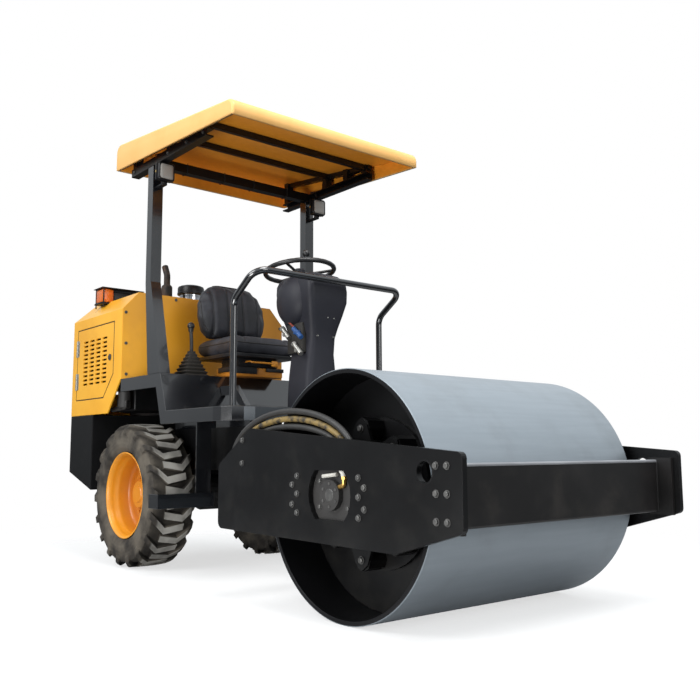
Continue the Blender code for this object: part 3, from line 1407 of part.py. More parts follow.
def lamps():
    """A work lamp in front of each post, and a hooded turn lamp at each rear corner."""
    post_front = WHEEL_X + POST_FRONT
    back = post_front + LAMP_FORWARD
    middle = back + LAMP_DEPTH / 2
    half = LAMP_SIZE / 2
    lamp_z = POST_TOP_Z - LAMP_BELOW_POST
    lamp_y = (-POST_Y - half, -POST_Y + half)
    housing = box((back, back + LAMP_DEPTH), lamp_y, (lamp_z - half, lamp_z + half), LAMP_EDGE)
    arm_low = lamp_z - half - BRACKET_DROP
    arm_y = (-POST_Y - BRACKET_WIDTH / 2, -POST_Y + BRACKET_WIDTH / 2)
    arm = box((post_front + SEAT_GAP, middle), arm_y, (arm_low, arm_low + BRACKET_THICKNESS))
    stem_z = (arm_low + BRACKET_THICKNESS / 2, lamp_z - half + LAMP_EDGE)
    stem = box((middle - BRACKET_WIDTH / 2, middle), arm_y, stem_z)
    pair("work_lamp", union([housing, arm, stem]), "black")
    back = WHEEL_X - TURN_LAMP_BEHIND_WHEEL
    front = back + TURN_LAMP_DEPTH
    slope = (HOOD_TOP_Z - HOOD_SIDE_Z) / HOOD_CHAMFER_Y
    out_y = -BODY_HALF_WIDTH + TURN_LAMP_INSET
    in_y = out_y + TURN_LAMP_WIDTH
    foot = SEAT_GAP * 2
    high = HOOD_TOP_Z + TURN_LAMP_HEIGHT
    outline = [
        (out_y, high),
        (out_y, HOOD_SIDE_Z + TURN_LAMP_INSET * slope + foot),
        (-BODY_HALF_WIDTH + HOOD_CHAMFER_Y, HOOD_TOP_Z + foot),
        (in_y, HOOD_TOP_Z + foot),
        (in_y, high),
    ]
    lamp = plate([Vector(p) for p in outline], "X", back, front)
    border = VISOR_BORDER
    visor = box(
        (back - border, front + border),
        (out_y - border, in_y + border),
        (high - BRACKET_THICKNESS / 2, high + BRACKET_THICKNESS),
    )
    pair("turn_lamp", union([lamp, visor]), "amber")


def hood_top_pieces():
    """The exhaust's stack with its bent outlet, and the air cleaner under its lid."""
    low = HOOD_TOP_Z + SEAT_GAP
    x = WHEEL_X - STACK_BEHIND_WHEEL
    stack_high = low + STACK_HEIGHT
    stack = cylinder((x, STACK_Y, low), (x, STACK_Y, stack_high), STACK_RADIUS)
    bend = stack_high + OUTLET_HEIGHT / 2
    corners = [
        (x, STACK_Y, low + STACK_HEIGHT / 2),
        (x, STACK_Y, bend),
        (x - OUTLET_LEAN, STACK_Y, stack_high + OUTLET_HEIGHT),
    ]
    outlet = tube(fillet_path(corners, OUTLET_BEND), OUTLET_RADIUS, resolution=2)
    finish("exhaust_stack", union([stack, outlet]), "iron")
    lid_high = low + CLEANER_HEIGHT - LID_CROWN
    lid_low = lid_high - LID_HEIGHT
    profile = [
        (low, 0),
        (low, CLEANER_RADIUS),
        (lid_low, CLEANER_RADIUS),
        (lid_low, LID_RADIUS),
        (lid_high, LID_RADIUS),
        (low + CLEANER_HEIGHT, LID_RADIUS / 2),
        (low + CLEANER_HEIGHT, 0),
    ]
    cleaner = turned(profile, (WHEEL_X - CLEANER_BEHIND_WHEEL, CLEANER_Y, 0), axis="Z")
    finish("air_cleaner", cleaner, "black")


def seat():
    """The seat on its sprung pedestal, with a crowned cushion and an oval backrest."""
    back = WHEEL_X + SEAT_FORWARD
    front = back + SEAT_LENGTH
    low = DECK_Z + SEAT_GAP
    foot_x = (back + BACK_THICKNESS, front - PEDESTAL_BEHIND_FRONT)
    spring_low = low + PEDESTAL_HEIGHT
    pan_low = spring_low + SUSPENSION_HEIGHT
    base_high = pan_low + SEAT_PAN_HEIGHT
    pan_half = SEAT_HALF_WIDTH - CUSHION_EDGE
    base = [
        box(foot_x, (-PEDESTAL_HALF_WIDTH, PEDESTAL_HALF_WIDTH), (low, spring_low)),
        box(
            (foot_x[0] + OVERRUN, foot_x[1] - OVERRUN),
            (-SUSPENSION_HALF_WIDTH, SUSPENSION_HALF_WIDTH),
            (spring_low - PIN_GAP, pan_low + PIN_GAP),
        ),
        box((back + CUSHION_EDGE, front - CUSHION_EDGE), (-pan_half, pan_half), (pan_low, base_high)),
    ]
    finish("seat_base", union(base), "black")
    cushion_low = base_high + SEAT_GAP
    cushion_high = cushion_low + CUSHION_THICKNESS
    across = (-SEAT_HALF_WIDTH, SEAT_HALF_WIDTH)
    cushion = box((back, front), across, (cushion_low, cushion_high), CUSHION_EDGE)
    finish("seat_cushion", cushion, "vinyl")
    middle = BACK_THICKNESS / 2
    rings = []
    for high_share, thick_share, wide_share in BACK_SHARES:
        thick = BACK_THICKNESS * thick_share / 2
        half = SEAT_HALF_WIDTH * wide_share
        corner = thick * 2 * BACK_CORNER_SHARE
        outline = rounded(
            [
                (middle - thick, -half, corner),
                (middle + thick, -half, corner),
                (middle + thick, half, corner),
                (middle - thick, half, corner),
            ]
        )
        rings.append([(u, v, BACK_HEIGHT * high_share) for u, v in outline])
    rest = lofted("backrest", rings)
    lean = Matrix.Identity(4)
    lean[0][2] = -BACK_LEAN_SHARE
    rest.data.transform(Matrix.Translation((back, 0, cushion_high + SEAT_GAP)) @ lean)
    finish("seat_backrest", rest, "vinyl")


def console():
    """The console: a lofted column with a swollen head, and the valves in its open side."""
    front = FLOOR_FRONT_X - CONSOLE_FRONT_MARGIN
    back = front - CONSOLE_DEPTH
    low = FLOOR_Z + SEAT_GAP
    rings = []
    for high_share, back_share, front_share, wide_share in CONSOLE_SHARES:
        near = back + CONSOLE_DEPTH * back_share
        far = back + CONSOLE_DEPTH * front_share
        half = CONSOLE_HALF_WIDTH * wide_share
        corner = CONSOLE_CORNER
        outline = rounded(
            [(near, -half, corner), (far, -half, corner), (far, half, corner), (near, half, corner)]
        )
        rings.append([(u, v, low + CONSOLE_HEIGHT * high_share) for u, v in outline])
    pieces = [lofted("console", rings)]
    radii = (
        CONSOLE_DEPTH * SWELL_LENGTH_SHARE,
        CONSOLE_HALF_WIDTH * SWELL_WIDTH_SHARE,
        CONSOLE_HEIGHT * SWELL_HEIGHT_SHARE,
    )
    swell_x = back + CONSOLE_DEPTH * SWELL_BACK_SHARE
    swell_z = low + CONSOLE_HEIGHT * SWELL_HIGH_SHARE
    for swell_y in (-CONSOLE_HALF_WIDTH, CONSOLE_HALF_WIDTH):
        pieces.append(ball((swell_x, swell_y, swell_z), radii))
    valve_y = (-CONSOLE_HALF_WIDTH - VALVE_REACH, -CONSOLE_HALF_WIDTH / 2)
    for high_share, back_share in VALVE_SHARES:
        x = back + CONSOLE_DEPTH * back_share
        z = low + CONSOLE_HEIGHT * high_share
        pieces.append(box((x, x + VALVE_SIZE), valve_y, (z, z + VALVE_SIZE)))
    finish("steering_console", union(pieces), "console")
    return low + CONSOLE_HEIGHT


def steering_wheel(console_top):
    """The ring with its spokes and spinner knob, tilted to the driver on an upright column."""
    tube_radius = WHEEL_RING_TUBE
    ring = []
    for k in range(ROUND_SIDES):
        turn = 2 * math.pi * k / ROUND_SIDES
        ring.append((WHEEL_RING_RADIUS * math.cos(turn), WHEEL_RING_RADIUS * math.sin(turn), 0))
    wheel = [tube(ring, tube_radius, closed=True, resolution=1)]
    for turn in (math.radians(60), math.radians(180), math.radians(300)):
        end = (WHEEL_RING_RADIUS * math.cos(turn), WHEEL_RING_RADIUS * math.sin(turn), 0)
        wheel.append(cylinder((0, 0, -tube_radius), end, SPOKE_RADIUS, FINE_SIDES))
    knob_x = WHEEL_RING_RADIUS * math.cos(SPINNER_TURN)
    knob_y = WHEEL_RING_RADIUS * math.sin(SPINNER_TURN)
    knob_at = Vector((knob_x, knob_y, tube_radius + KNOB_RADIUS))
    wheel.append(ball(knob_at, (KNOB_RADIUS, KNOB_RADIUS, KNOB_RADIUS)))
    wheel.append(cylinder((knob_x, knob_y, 0), knob_at, KNOB_STEM, FINE_SIDES))
    place = Vector((FLOOR_FRONT_X - STEERING_BEHIND_FRONT, 0, STEERING_Z))
    for thing in wheel:
        thing.data.transform(Matrix.Translation(place) @ Matrix.Rotation(STEERING_TILT, 4, "Y"))
    foot = Vector((place.x, 0, console_top + SEAT_GAP))
    wheel.append(cylinder(foot, place + Vector((0, 0, tube_radius)), COLUMN_RADIUS, SMALL_SIDES))
    finish("steering_wheel", union(wheel), "black")


def travel_lever():
    """The lever on its square rubber bellows."""
    x = WHEEL_X + LEVER_FORWARD
    low = DECK_Z + SEAT_GAP
    folds = [(low, 0), (low, BELLOWS_RADIUS)]
    for k in range(BELLOWS_FOLDS):
        share = (k + 1) / (BELLOWS_FOLDS + 1)
        radius = BELLOWS_RADIUS * (1 - share) + LEVER_RADIUS * 2 * share
        z = low + BELLOWS_HEIGHT * share
        folds.append((z - BELLOWS_HEIGHT / BELLOWS_FOLDS * FOLD_WAY_SHARE, radius * FOLD_DEPTH_SHARE))
        folds.append((z, radius))
    folds.append((low + BELLOWS_HEIGHT, LEVER_RADIUS * 2))
    folds.append((low + BELLOWS_HEIGHT, 0))
    bellows = turned(folds, (0, 0, 0), axis="Z", sides=4)
    place = Matrix.Translation((x, LEVER_Y, 0)) @ Matrix.Rotation(math.radians(45), 4, "Z")
    bellows.data.transform(place)
    top = Vector((x - LEVER_LEAN, LEVER_Y, LEVER_TOP_Z))
    foot = (x, LEVER_Y, low + BELLOWS_HEIGHT / 2)
    stick = cylinder(foot, top, LEVER_RADIUS, FINE_SIDES)
    knob = ball(top, (LEVER_KNOB_RADIUS, LEVER_KNOB_RADIUS, LEVER_KNOB_RADIUS))
    finish("travel_lever", union([bellows, stick, knob]), "black")


def brake_pedal():
    """A bent bar from the riser down to the floor, beside the console."""
    foot = WHEEL_X + RISER_FOOT
    lean = (RISER_FOOT - DECK_FRONT) / (DECK_Z - FLOOR_Z)
    floor = FLOOR_Z + SEAT_GAP
    low_arm = PEDAL_HIGH - PEDAL_ARM
    bend = foot + PEDAL_LENGTH * PEDAL_SHARE
    end = foot + PEDAL_LENGTH
    outline = [
        (foot + RUN_GAP - PEDAL_HIGH * lean, floor + PEDAL_HIGH),
        (bend, floor + PEDAL_HIGH),
        (end, floor),
        (end - PEDAL_ARM, floor),
        (bend - PEDAL_ARM / 2, floor + low_arm),
        (foot + RUN_GAP - low_arm * lean, floor + low_arm),
    ]
    half = PEDAL_THICKNESS / 2
    arm = plate([Vector(p) for p in outline], "Y", PEDAL_Y - half, PEDAL_Y + half)
    finish("brake_pedal", arm, "black")


def handrail():
    """The bent tube across the platform's front."""
    foot_x = FLOOR_FRONT_X - HANDRAIL_BEHIND_FRONT
    top_x = foot_x + HANDRAIL_LEAN
    low = FLOOR_Z + SEAT_GAP
    half = HANDRAIL_Y
    corners = [
        (foot_x, -half, low),
        (foot_x, -half, HANDRAIL_KNEE_Z),
        (top_x, -half, HANDRAIL_TOP_Z),
        (top_x, half, HANDRAIL_TOP_Z),
        (foot_x, half, HANDRAIL_KNEE_Z),
        (foot_x, half, low),
    ]
    rail = tube(fillet_path(corners, HANDRAIL_BEND), RAIL_TUBE_RADIUS, resolution=2)
    finish("handrail", rail, "black")


def assembled_drum_frame():
    hub_out = drum()
    pieces = [*side_plates(), front_beam(), rear_cross_member()]
    pieces += [*drum_drives(hub_out), drum_hoses()]
    body("drum_frame_axis", (PIVOT_X, 0, CROSS_LOW_Z), pieces)


def assembled_tractor():
    rear_frame()
    rear_axle()
    wheels()
    counterweight()
    engine()
    hood_and_doors()
    platform()
    posts()
    canopy()
    canopy_frame()
    lamps()
    hood_top_pieces()
    seat()
    steering_wheel(console())
    travel_lever()
    brake_pedal()
    handrail()


assembled_drum_frame()
steering_cylinder()
assembled_tractor()
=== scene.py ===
import math

import bmesh
import bpy
from mathutils import Matrix, Vector
from mathutils.bvhtree import BVHTree


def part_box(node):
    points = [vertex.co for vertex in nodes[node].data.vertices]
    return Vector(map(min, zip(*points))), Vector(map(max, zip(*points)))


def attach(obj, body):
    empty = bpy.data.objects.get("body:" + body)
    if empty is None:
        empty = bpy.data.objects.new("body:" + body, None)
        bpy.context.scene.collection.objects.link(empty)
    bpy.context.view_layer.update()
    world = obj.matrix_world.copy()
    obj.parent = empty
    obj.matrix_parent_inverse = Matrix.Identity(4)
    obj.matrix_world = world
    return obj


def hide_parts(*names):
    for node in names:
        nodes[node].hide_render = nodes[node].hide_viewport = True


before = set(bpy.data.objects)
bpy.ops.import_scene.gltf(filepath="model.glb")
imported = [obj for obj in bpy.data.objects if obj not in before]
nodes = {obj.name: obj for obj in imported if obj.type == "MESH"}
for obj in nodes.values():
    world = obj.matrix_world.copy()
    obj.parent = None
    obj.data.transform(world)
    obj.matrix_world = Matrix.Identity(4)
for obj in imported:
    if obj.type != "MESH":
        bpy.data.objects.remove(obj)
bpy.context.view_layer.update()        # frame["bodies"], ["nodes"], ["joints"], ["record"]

# Camera: stands low beside the drum and looks up at the canopy, with a slightly long lens.
def placed(name, data):
    """A new object in the scene that holds data."""
    made = bpy.data.objects.new(name, data)
    bpy.context.scene.collection.objects.link(made)
    return made


camera = placed("camera", bpy.data.cameras.new("camera"))
camera.data.lens = 42.4
camera.data.sensor_width = 36
camera.matrix_world = (
    Matrix.Translation((3.36993, -2.49484, 0.617))
    @ Matrix.Rotation(math.radians(50.18), 4, "Z")
    @ Matrix.Rotation(math.radians(96.983), 4, "X")
    @ Matrix.Rotation(math.radians(-0.24), 4, "Z")
)
bpy.context.scene.camera = camera


# Floor and light: a pale studio floor that fades into the white room, large soft lamps above and
# on the machine's right, and weaker ones ahead of it and near the floor. The room dims downwards.
class Value:
    """A node's output. Arithmetic on it adds Math nodes."""

    def __init__(self, graph, socket):
        self.graph = graph
        self.socket = socket

    def math(self, operation, first, second):
        return self.graph.node("ShaderNodeMath", {0: first, 1: second}, operation=operation)

    def __add__(self, other):
        return self.math("ADD", self, other)

    def __sub__(self, other):
        return self.math("SUBTRACT", self, other)

    def __rsub__(self, other):
        return self.math("SUBTRACT", other, self)

    def __mul__(self, other):
        return self.math("MULTIPLY", self, other)

    __radd__, __rmul__ = __add__, __mul__


class Graph:
    """A node tree that ends in one shader."""

    def __init__(self, tree, shader):
        self.tree = tree
        self.shader = tree.nodes[shader]

    def node(self, kind, inputs, out=0, **settings):
        """Adds a node: its settings first, then each input's value or link."""
        made = self.tree.nodes.new(kind)
        for setting, value in settings.items():
            setattr(made, setting, value)
        for socket, value in inputs.items():
            if isinstance(value, Value):
                self.tree.links.new(value.socket, made.inputs[socket])
            else:
                made.inputs[socket].default_value = value
        return Value(self, made.outputs[out])

    def feed(self, socket, value):
        self.tree.links.new(value.socket, self.shader.inputs[socket])


class Finish(Graph):
    """One material: a Principled shader with the nodes that vary it over Object coordinates."""

    def __init__(self, name, **uniform):
        self.material = bpy.data.materials.new(name)
        self.material.use_nodes = True
        super().__init__(self.material.node_tree, "Principled BSDF")
        for socket, value in uniform.items():
            self.shader.inputs[socket.replace("_", " ")].default_value = value
        self.place = self.node("ShaderNodeTexCoord", {}, out="Object")

    def scaled(self, x, y, z, centre=(0, 0, 0)):
        """The place measured from a centre, with each axis scaled on its own."""
        shift = (-x * centre[0], -y * centre[1], -z * centre[2])
        return self.node("ShaderNodeMapping", {"Vector": self.place, "Location": shift, "Scale": (x, y, z)})

    def length(self, place):
        return self.node("ShaderNodeVectorMath", {0: place}, out="Value", operation="LENGTH")

    def axis(self, name):
        return self.node("ShaderNodeSeparateXYZ", {0: self.place}, out=name)

    def noise(self, scale, detail, place=None):
        values = {"Vector": place or self.place, "Scale": scale, "Detail": detail, "Roughness": 0.55}
        return self.node("ShaderNodeTexNoise", values)

    def bands(self, scale, distortion, axis):
        """Parallel light and dark bands across an axis."""
        values = {"Vector": self.place, "Scale": scale, "Distortion": distortion}
        return self.node("ShaderNodeTexWave", values, bands_direction=axis)

    def step(self, value, low, high):
        """0 below low, 1 above high, smooth between."""
        values = {"Value": value, "From Min": low, "From Max": high}
        return self.node("ShaderNodeMapRange", values, interpolation_type="SMOOTHSTEP")

    def mix(self, share, *ends):
        """A colour between two, each another node's output or the 0 to 255 numbers it shows as."""
        first, second = (end if isinstance(end, Value) else linear(end) for end in ends)
        return self.node("ShaderNodeMix", {0: share, 6: first, 7: second}, out=2, data_type="RGBA")

    def bump(self, height, strength, distance):
        values = {"Height": height, "Strength": strength, "Distance": distance}
        self.feed("Normal", self.node("ShaderNodeBump", values))

    def tint(self, share, first, second):
        self.feed("Base Color", self.mix(share, first, second))

    def grain(self, scale, detail, strength, distance):
        self.bump(self.noise(scale, detail), strength, distance)


def linear(shown):
    """A shader colour from the 0 to 255 numbers that it shows as."""
    shares = (c / 255 for c in shown)
    return (*(((c + 0.055) / 1.055) ** 2.4 if c > 0.04 else c / 12.92 for c in shares), 1)


floor_mesh = bpy.data.meshes.new("floor")
solid = bmesh.new()
bmesh.ops.create_circle(solid, cap_ends=True, segments=96, radius=9)
solid.to_mesh(floor_mesh)
solid.free()
floor_paper = Finish("floor_paper", Roughness=0.95, Specular_IOR_Level=0.1)
floor_paper.tint(floor_paper.noise(30, 2), (250, 250, 251), (255, 255, 255))
faded = floor_paper.step(floor_paper.length(floor_paper.scaled(0.85, 1, 0)), 1.4, 3.2)
floor_paper.feed("Alpha", 0.36 - 0.36 * faded)
floor_mesh.materials.append(floor_paper.material)
placed("floor", floor_mesh)

world = bpy.data.worlds.new("room")
bpy.context.scene.world = world
world.use_nodes = True
room = Graph(world.node_tree, "Background")
seen = room.node("ShaderNodeLightPath", {}, out="Is Camera Ray")
through_glass = room.node("ShaderNodeLightPath", {}, out="Is Transmission Ray")
white = room.node("ShaderNodeMath", {0: seen, 1: through_glass}, operation="MAXIMUM")
heading = room.node("ShaderNodeTexCoord", {}, out="Generated")
values = {"Value": room.node("ShaderNodeSeparateXYZ", {0: heading}, out="Z")}
values |= {"From Min": -0.15, "From Max": 0.5, "To Min": 0.05, "To Max": 0.9}
dusk = room.node("ShaderNodeMapRange", values)
room.feed("Strength", room.node("ShaderNodeMapRange", {"Value": white, "To Min": dusk, "To Max": 1.0}))
tint = {0: white, 6: (0.91, 0.96, 1.0, 1), 7: (1, 1, 1, 1)}
room.feed("Color", room.node("ShaderNodeMix", tint, out=2, data_type="RGBA"))
bpy.context.scene.view_settings.view_transform = "Standard"

lamp_target = Vector((-0.2, 0, 1.0))
for lamp_name, place, width, watts in (
    ("top_lamp", (2.2, -0.4, 5.8), 3.0, 235),
    ("key_lamp", (-0.2, -4.8, 4.2), 3.5, 200),
    ("front_lamp", (6.2, 0.4, 2.6), 3.0, 90),
    ("low_lamp", (1.2, -3.2, 0.2), 1.6, 75),
):
    light = bpy.data.lights.new(lamp_name, "AREA")
    light.shape = "DISK"
    light.size = width
    light.energy = watts
    lamp = placed(lamp_name, light)
    lamp.location = place
    lamp.rotation_euler = (lamp_target - Vector(place)).to_track_quat("-Z", "Y").to_euler()


# Hoses: three rubber hydraulic hoses that loop from a block on the cross member over the plate
# to the drive. The middle one has a dusty brass-coloured guard. Each end is crimped in a ferrule.
def rod(solid, start, end, radius, sides=24, end_radius=None):
    """A cylinder or cone between two centres."""
    start, end = Vector(start), Vector(end)
    along = end - start
    bmesh.ops.create_cone(
        solid,
        cap_ends=True,
        segments=sides,
        radius1=radius,
        radius2=radius if end_radius is None else end_radius,
        depth=along.length,
        matrix=Matrix.Translation((start + end) / 2) @ along.to_track_quat("Z", "Y").to_matrix().to_4x4(),
    )


def beveled(solid, edges, width, segments):
    values = {"offset": width, "affect": "EDGES", "segments": segments, "profile": 0.5, "material": -1}
    bmesh.ops.bevel(solid, geom=edges, **values)


def block(solid, low, high, edge, segments=2):
    """A box between two corners, with rounded edges."""
    low, high = Vector(low), Vector(high)
    place = Matrix.Translation((low + high) / 2) @ Matrix.Diagonal((*(high - low), 1))
    made = bmesh.ops.create_cube(solid, size=1, matrix=place)["verts"]
    beveled(solid, list({e for v in made for e in v.link_edges}), edge, segments)


def loft(solid, rings, closed=False):
    """A skin through equal rings of points, with its ends filled unless it closes on itself."""
    made = [[solid.verts.new(point) for point in ring] for ring in rings]
    for first, second in zip(made, made[1:] + made[:1] if closed else made[1:]):
        for i, j in zip(range(len(first)), [*range(1, len(first)), 0]):
            solid.faces.new((first[i], first[j], second[j], second[i]))
    if not closed:
        solid.faces.new(reversed(made[0]))
        solid.faces.new(made[-1])


def pipe(solid, points, radius, sides=12, closed=False):
    """A round bar along points."""
    points = [Vector(p) for p in points]
    up = None
    rings = []
    for i, here in enumerate(points):
        ahead = points[(i + 1) % len(points)] if closed or i + 1 < len(points) else here
        behind = points[i - 1] if closed or i else here
        along = (ahead - behind).normalized()
        up = (up - along * up.dot(along)).normalized() if up else along.orthogonal().normalized()
        side = along.cross(up)
        turns = [2 * math.pi * k / sides for k in range(sides)]
        rings.append([here + (up * math.cos(t) + side * math.sin(t)) * radius for t in turns])
    loft(solid, rings, closed)


def bent(corners, radius, step=9):
    """A path through corners, each rounded by an arc."""
    points = [Vector(corners[0])]
    for before, here, after in zip(corners, corners[1:], corners[2:]):
        here = Vector(here)
        back, ahead = (Vector(before) - here).normalized(), (Vector(after) - here).normalized()
        half = back.angle(ahead) / 2
        centre = here + (back + ahead).normalized() * radius / math.sin(half)
        first = here + back * radius / math.tan(half) - centre
        last = here + ahead * radius / math.tan(half) - centre
        steps = max(2, round(math.degrees(math.pi - 2 * half) / step))
        for k in range(steps + 1):
            turn = Matrix.Rotation((math.pi - 2 * half) * k / steps, 3, first.cross(last))
            points.append(centre + turn @ first)
    return [*points, Vector(corners[-1])]


def piece(name, solid, finish, slot, *stands_for, body="tractor", sharp=30):
    """Turns a bmesh into a piece that rides on a body, with its finish and smooth faces."""
    bmesh.ops.recalc_face_normals(solid, faces=solid.faces)
    mesh = bpy.data.meshes.new(name)
    solid.to_mesh(mesh)
    solid.free()
    mesh.materials.append(finish.material)
    mesh.shade_smooth()
    mesh.set_sharp_from_angle(angle=math.radians(sharp))
    made = placed(name, mesh)
    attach(made, body)
    if stands_for:
        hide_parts(*stands_for)
    return made


def coated(name, cloud, low, high, rough=None, grain=None, **uniform):
    """A finish that drifts between two colours in a cloud, and grows rougher with it.

    cloud is the noise's scale and detail, rough the roughness at 0 and its rise, and grain the
    bump's scale, detail, strength and depth."""
    made = Finish(name, **uniform)
    drift = made.noise(*cloud)
    made.tint(drift, low, high)
    if rough:
        made.feed("Roughness", rough[0] + rough[1] * drift)
    if grain:
        made.grain(*grain)
    return made


hose_rubber = coated("hose_rubber", (25, 4), (26, 26, 27), (52, 51, 49), None, (300, 2, 0.3, 0.001), Roughness=0.5)
guard = Finish("hose_guard", Roughness=0.6)
guard.tint(guard.step(guard.noise(30, 5), 0.35, 0.6), (38, 35, 30), (122, 102, 58))
guard.grain(200, 3, 0.4, 0.001)
plated = {"Metallic": 0.9, "Roughness": 0.38}
zinc = coated("plated_steel", (60, 4), (150, 150, 148), (188, 186, 178), None, (400, 2, 0.1, 0.0005), **plated)
hose_y, hose_radius, hose_steps = -0.597, 0.012, 40
start_z, end_z = 0.5803, 0.5953
ferrules = bmesh.new()
hoses = []
for number, start_x, end_x, top in (
    (1, 0.3105, 1.1125, 0.773),
    (2, 0.3405, 1.0825, 0.743),
    (3, 0.3705, 1.0525, 0.713),
):
    route = []
    for i in range(hose_steps + 1):
        turn = math.pi * i / hose_steps
        foot = start_z if turn < math.pi / 2 else end_z
        x = (start_x + end_x) / 2 - (end_x - start_x) / 2 * math.cos(turn)
        route.append(Vector((x, hose_y, foot + (top - foot) * math.sin(turn))))
    curve = bpy.data.curves.new(f"drum_hose_{number}", "CURVE")
    curve.dimensions = "3D"
    curve.bevel_depth = hose_radius
    curve.bevel_resolution = 4
    curve.use_fill_caps = True
    spline = curve.splines.new("POLY")
    spline.points.add(len(route) - 1)
    for point, place in zip(spline.points, route):
        point.co = (*place, 1)
    curve.materials.append((guard if number == 2 else hose_rubber).material)
    hose = placed(f"drum_hose_{number}", curve)
    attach(hose, "drum_frame")
    hoses.append((hose, route))
    for end, inner in ((route[0], route[2]), (route[-1], route[-3])):
        rod(ferrules, end - (inner - end) * 0.1, end + (inner - end) * 0.75, 0.0145, 16)
        rod(ferrules, end - (inner - end) * 0.12, end + (inner - end) * 0.2, 0.016, 6)
for low_x, high_x, high_z in ((0.2885, 0.3925, start_z), (1.0225, 1.1425, end_z)):
    block(ferrules, (low_x, -0.61, high_z - 0.03), (high_x, -0.584, high_z), 0.003)
piece("hose_fittings", ferrules, zinc, "cast_iron", "drum_hoses", body="drum_frame")
for hose, route in hoses:
    length = sum((b - a).length for a, b in zip(route, route[1:]))


# Drum: an 18 mm steel plate rolled into a tube, turned true outside and left bare, with a small
# chamfer at each end. Rolling has polished it across. Inside it is painted black.
def spun(solid, profile, centre, axis="Y", steps=96):
    """A profile of (distance along the axis, radius) spun a full turn."""
    centre = Vector(centre)
    along = Vector((0, 1, 0)) if axis == "Y" else Vector((0, 0, 1))
    out = Vector((0, 0, 1)) if axis == "Y" else Vector((1, 0, 0))
    line = [solid.verts.new(centre + along * a + out * r) for a, r in profile]
    edges = [solid.edges.new(pair) for pair in zip(line, line[1:])]
    values = {"cent": centre, "axis": along, "angle": 2 * math.pi, "steps": steps, "use_merge": True}
    bmesh.ops.spin(solid, geom=line + edges, **values)
    bmesh.ops.remove_doubles(solid, verts=solid.verts, dist=0.00001)


drum_x, drum_z = 1.0225, 0.46
drum_steel = Finish("rolled_steel", Metallic=0.65)
across = drum_steel.noise(9, 6, drum_steel.scaled(6, 0.35, 6))
blotch = drum_steel.noise(4, 5)
worn = drum_steel.mix(0.3 * drum_steel.step(across, 0.3, 0.7), (152, 161, 168), (168, 176, 183))
worn = drum_steel.mix(0.22 * drum_steel.step(blotch, 0.45, 0.7), worn, (122, 126, 128))
reach = drum_steel.length(drum_steel.scaled(1, 0, 1, (drum_x, 0, drum_z)))
drum_steel.tint(drum_steel.step(reach, 0.456, 0.4585), (24, 24, 26), worn)
drum_steel.feed("Roughness", 0.34 + 0.14 * blotch)
drum_steel.bump(across * 0.3 + 0.3 * drum_steel.noise(70, 3, drum_steel.scaled(2, 0.2, 2)), 0.03, 0.001)
solid = bmesh.new()
profile = [(0.574, 0.46), (0.576, 0.458), (0.576, 0.443), (0.575, 0.442)]
closing = [*reversed(profile), (-0.574, 0.46)]
spun(solid, [(-a, r) for a, r in profile] + closing, (drum_x, 0, drum_z), steps=180)
piece("rolled_shell", solid, drum_steel, "drum_steel", "drum_shell", body="drum")


# Drum ends and frame: thick plate and welded boxes in satin black, sprayed after welding. Cut
# edges are rounded off a little. Dust lies in the paint, and grey bolt heads stand out from it.
def enamel(name, clean, dull, rough, peel=0.05, dust=None, **uniform):
    """Sprayed paint: it dulls in clouds, has an orange peel, and takes dust towards the ground."""
    paint = Finish(name, **uniform)
    cloud = paint.noise(3.5, 6)
    shade = paint.mix(paint.step(cloud, 0.38, 0.7), clean, dull)
    if dust:
        settled = paint.step(0.75 * paint.noise(9, 7) - 0.28 * paint.axis("Z"), 0.22, 0.5)
        shade = paint.mix(0.5 * settled, shade, dust)
    paint.feed("Base Color", shade)
    paint.feed("Roughness", (rough - 0.05) + 0.14 * cloud + 0.04 * paint.noise(120, 2))
    paint.grain(340, 2, peel, 0.001)
    return paint


def paint_nodes(finish, *names, edge=0.0):
    """Gives CAD nodes a finish, and a small round on their folded or cut edges."""
    for name in names:
        thing = nodes[name]
        thing.data.materials.clear()
        thing.data.materials.append(finish.material)
        if edge:
            weld = thing.modifiers.new("weld", "WELD")
            weld.merge_threshold = 0.00002
            bevel = thing.modifiers.new("edge", "BEVEL")
            bevel.width = edge
            bevel.segments = 2
            bevel.limit_method = "ANGLE"
            bevel.angle_limit = math.radians(40)


def bolt(solid, at, out, size, washer=True):
    """A hexagon head with a chamfered top on a washer. size is the head's width."""
    at, out = Vector(at), Vector(out)
    foot = at - out * 0.001
    if washer:
        rod(solid, foot, at + out * size * 0.12, size * 0.75, 16)
    rod(solid, foot, at + out * size * 0.45, size * 0.577, 6)
    rod(solid, at + out * size * 0.44, at + out * size * 0.52, size * 0.55, 12, end_radius=size * 0.42)


black, haze_black, road_dust = (11, 11, 12), (17, 17, 18), (34, 33, 31)
satin_black = enamel("satin_black", black, haze_black, 0.3, 0.05, road_dust, Specular_IOR_Level=0.25)
paint_nodes(satin_black, "drum_web_left", "drum_web_right", "exciter_tube")
paint_nodes(satin_black, "side_plate_left", "side_plate_right", edge=0.003)
paint_nodes(satin_black, "rear_cross_member", edge=0.001)
grain = (500, 2, 0.1, 0.0004)
bolt_steel = coated("bolt_steel", (40, 4), (54, 54, 56), (112, 111, 108), (0.35, 0.2), grain, Metallic=0.6)
solid = bmesh.new()
heights = (0.525, 0.492, 0.459, 0.419, 0.389)
bolts = [(x, z) for row in ((-0.19, -0.221), (0.165, 0.195)) for x, z in zip(row * 3, heights)]
bolts += [(x, z) for x in (0.535, 0.582) for z in (0.571, 0.485, 0.399)]
bolts = [(drum_x + x, z) for x, z in bolts] + [(0.4485, 0.663), (0.4485, 0.569)]
plate_face = 0.64
for sign in (-1, 1):
    for x, z in bolts:
        bolt(solid, (x, sign * plate_face, z), (0, sign, 0), 0.017)
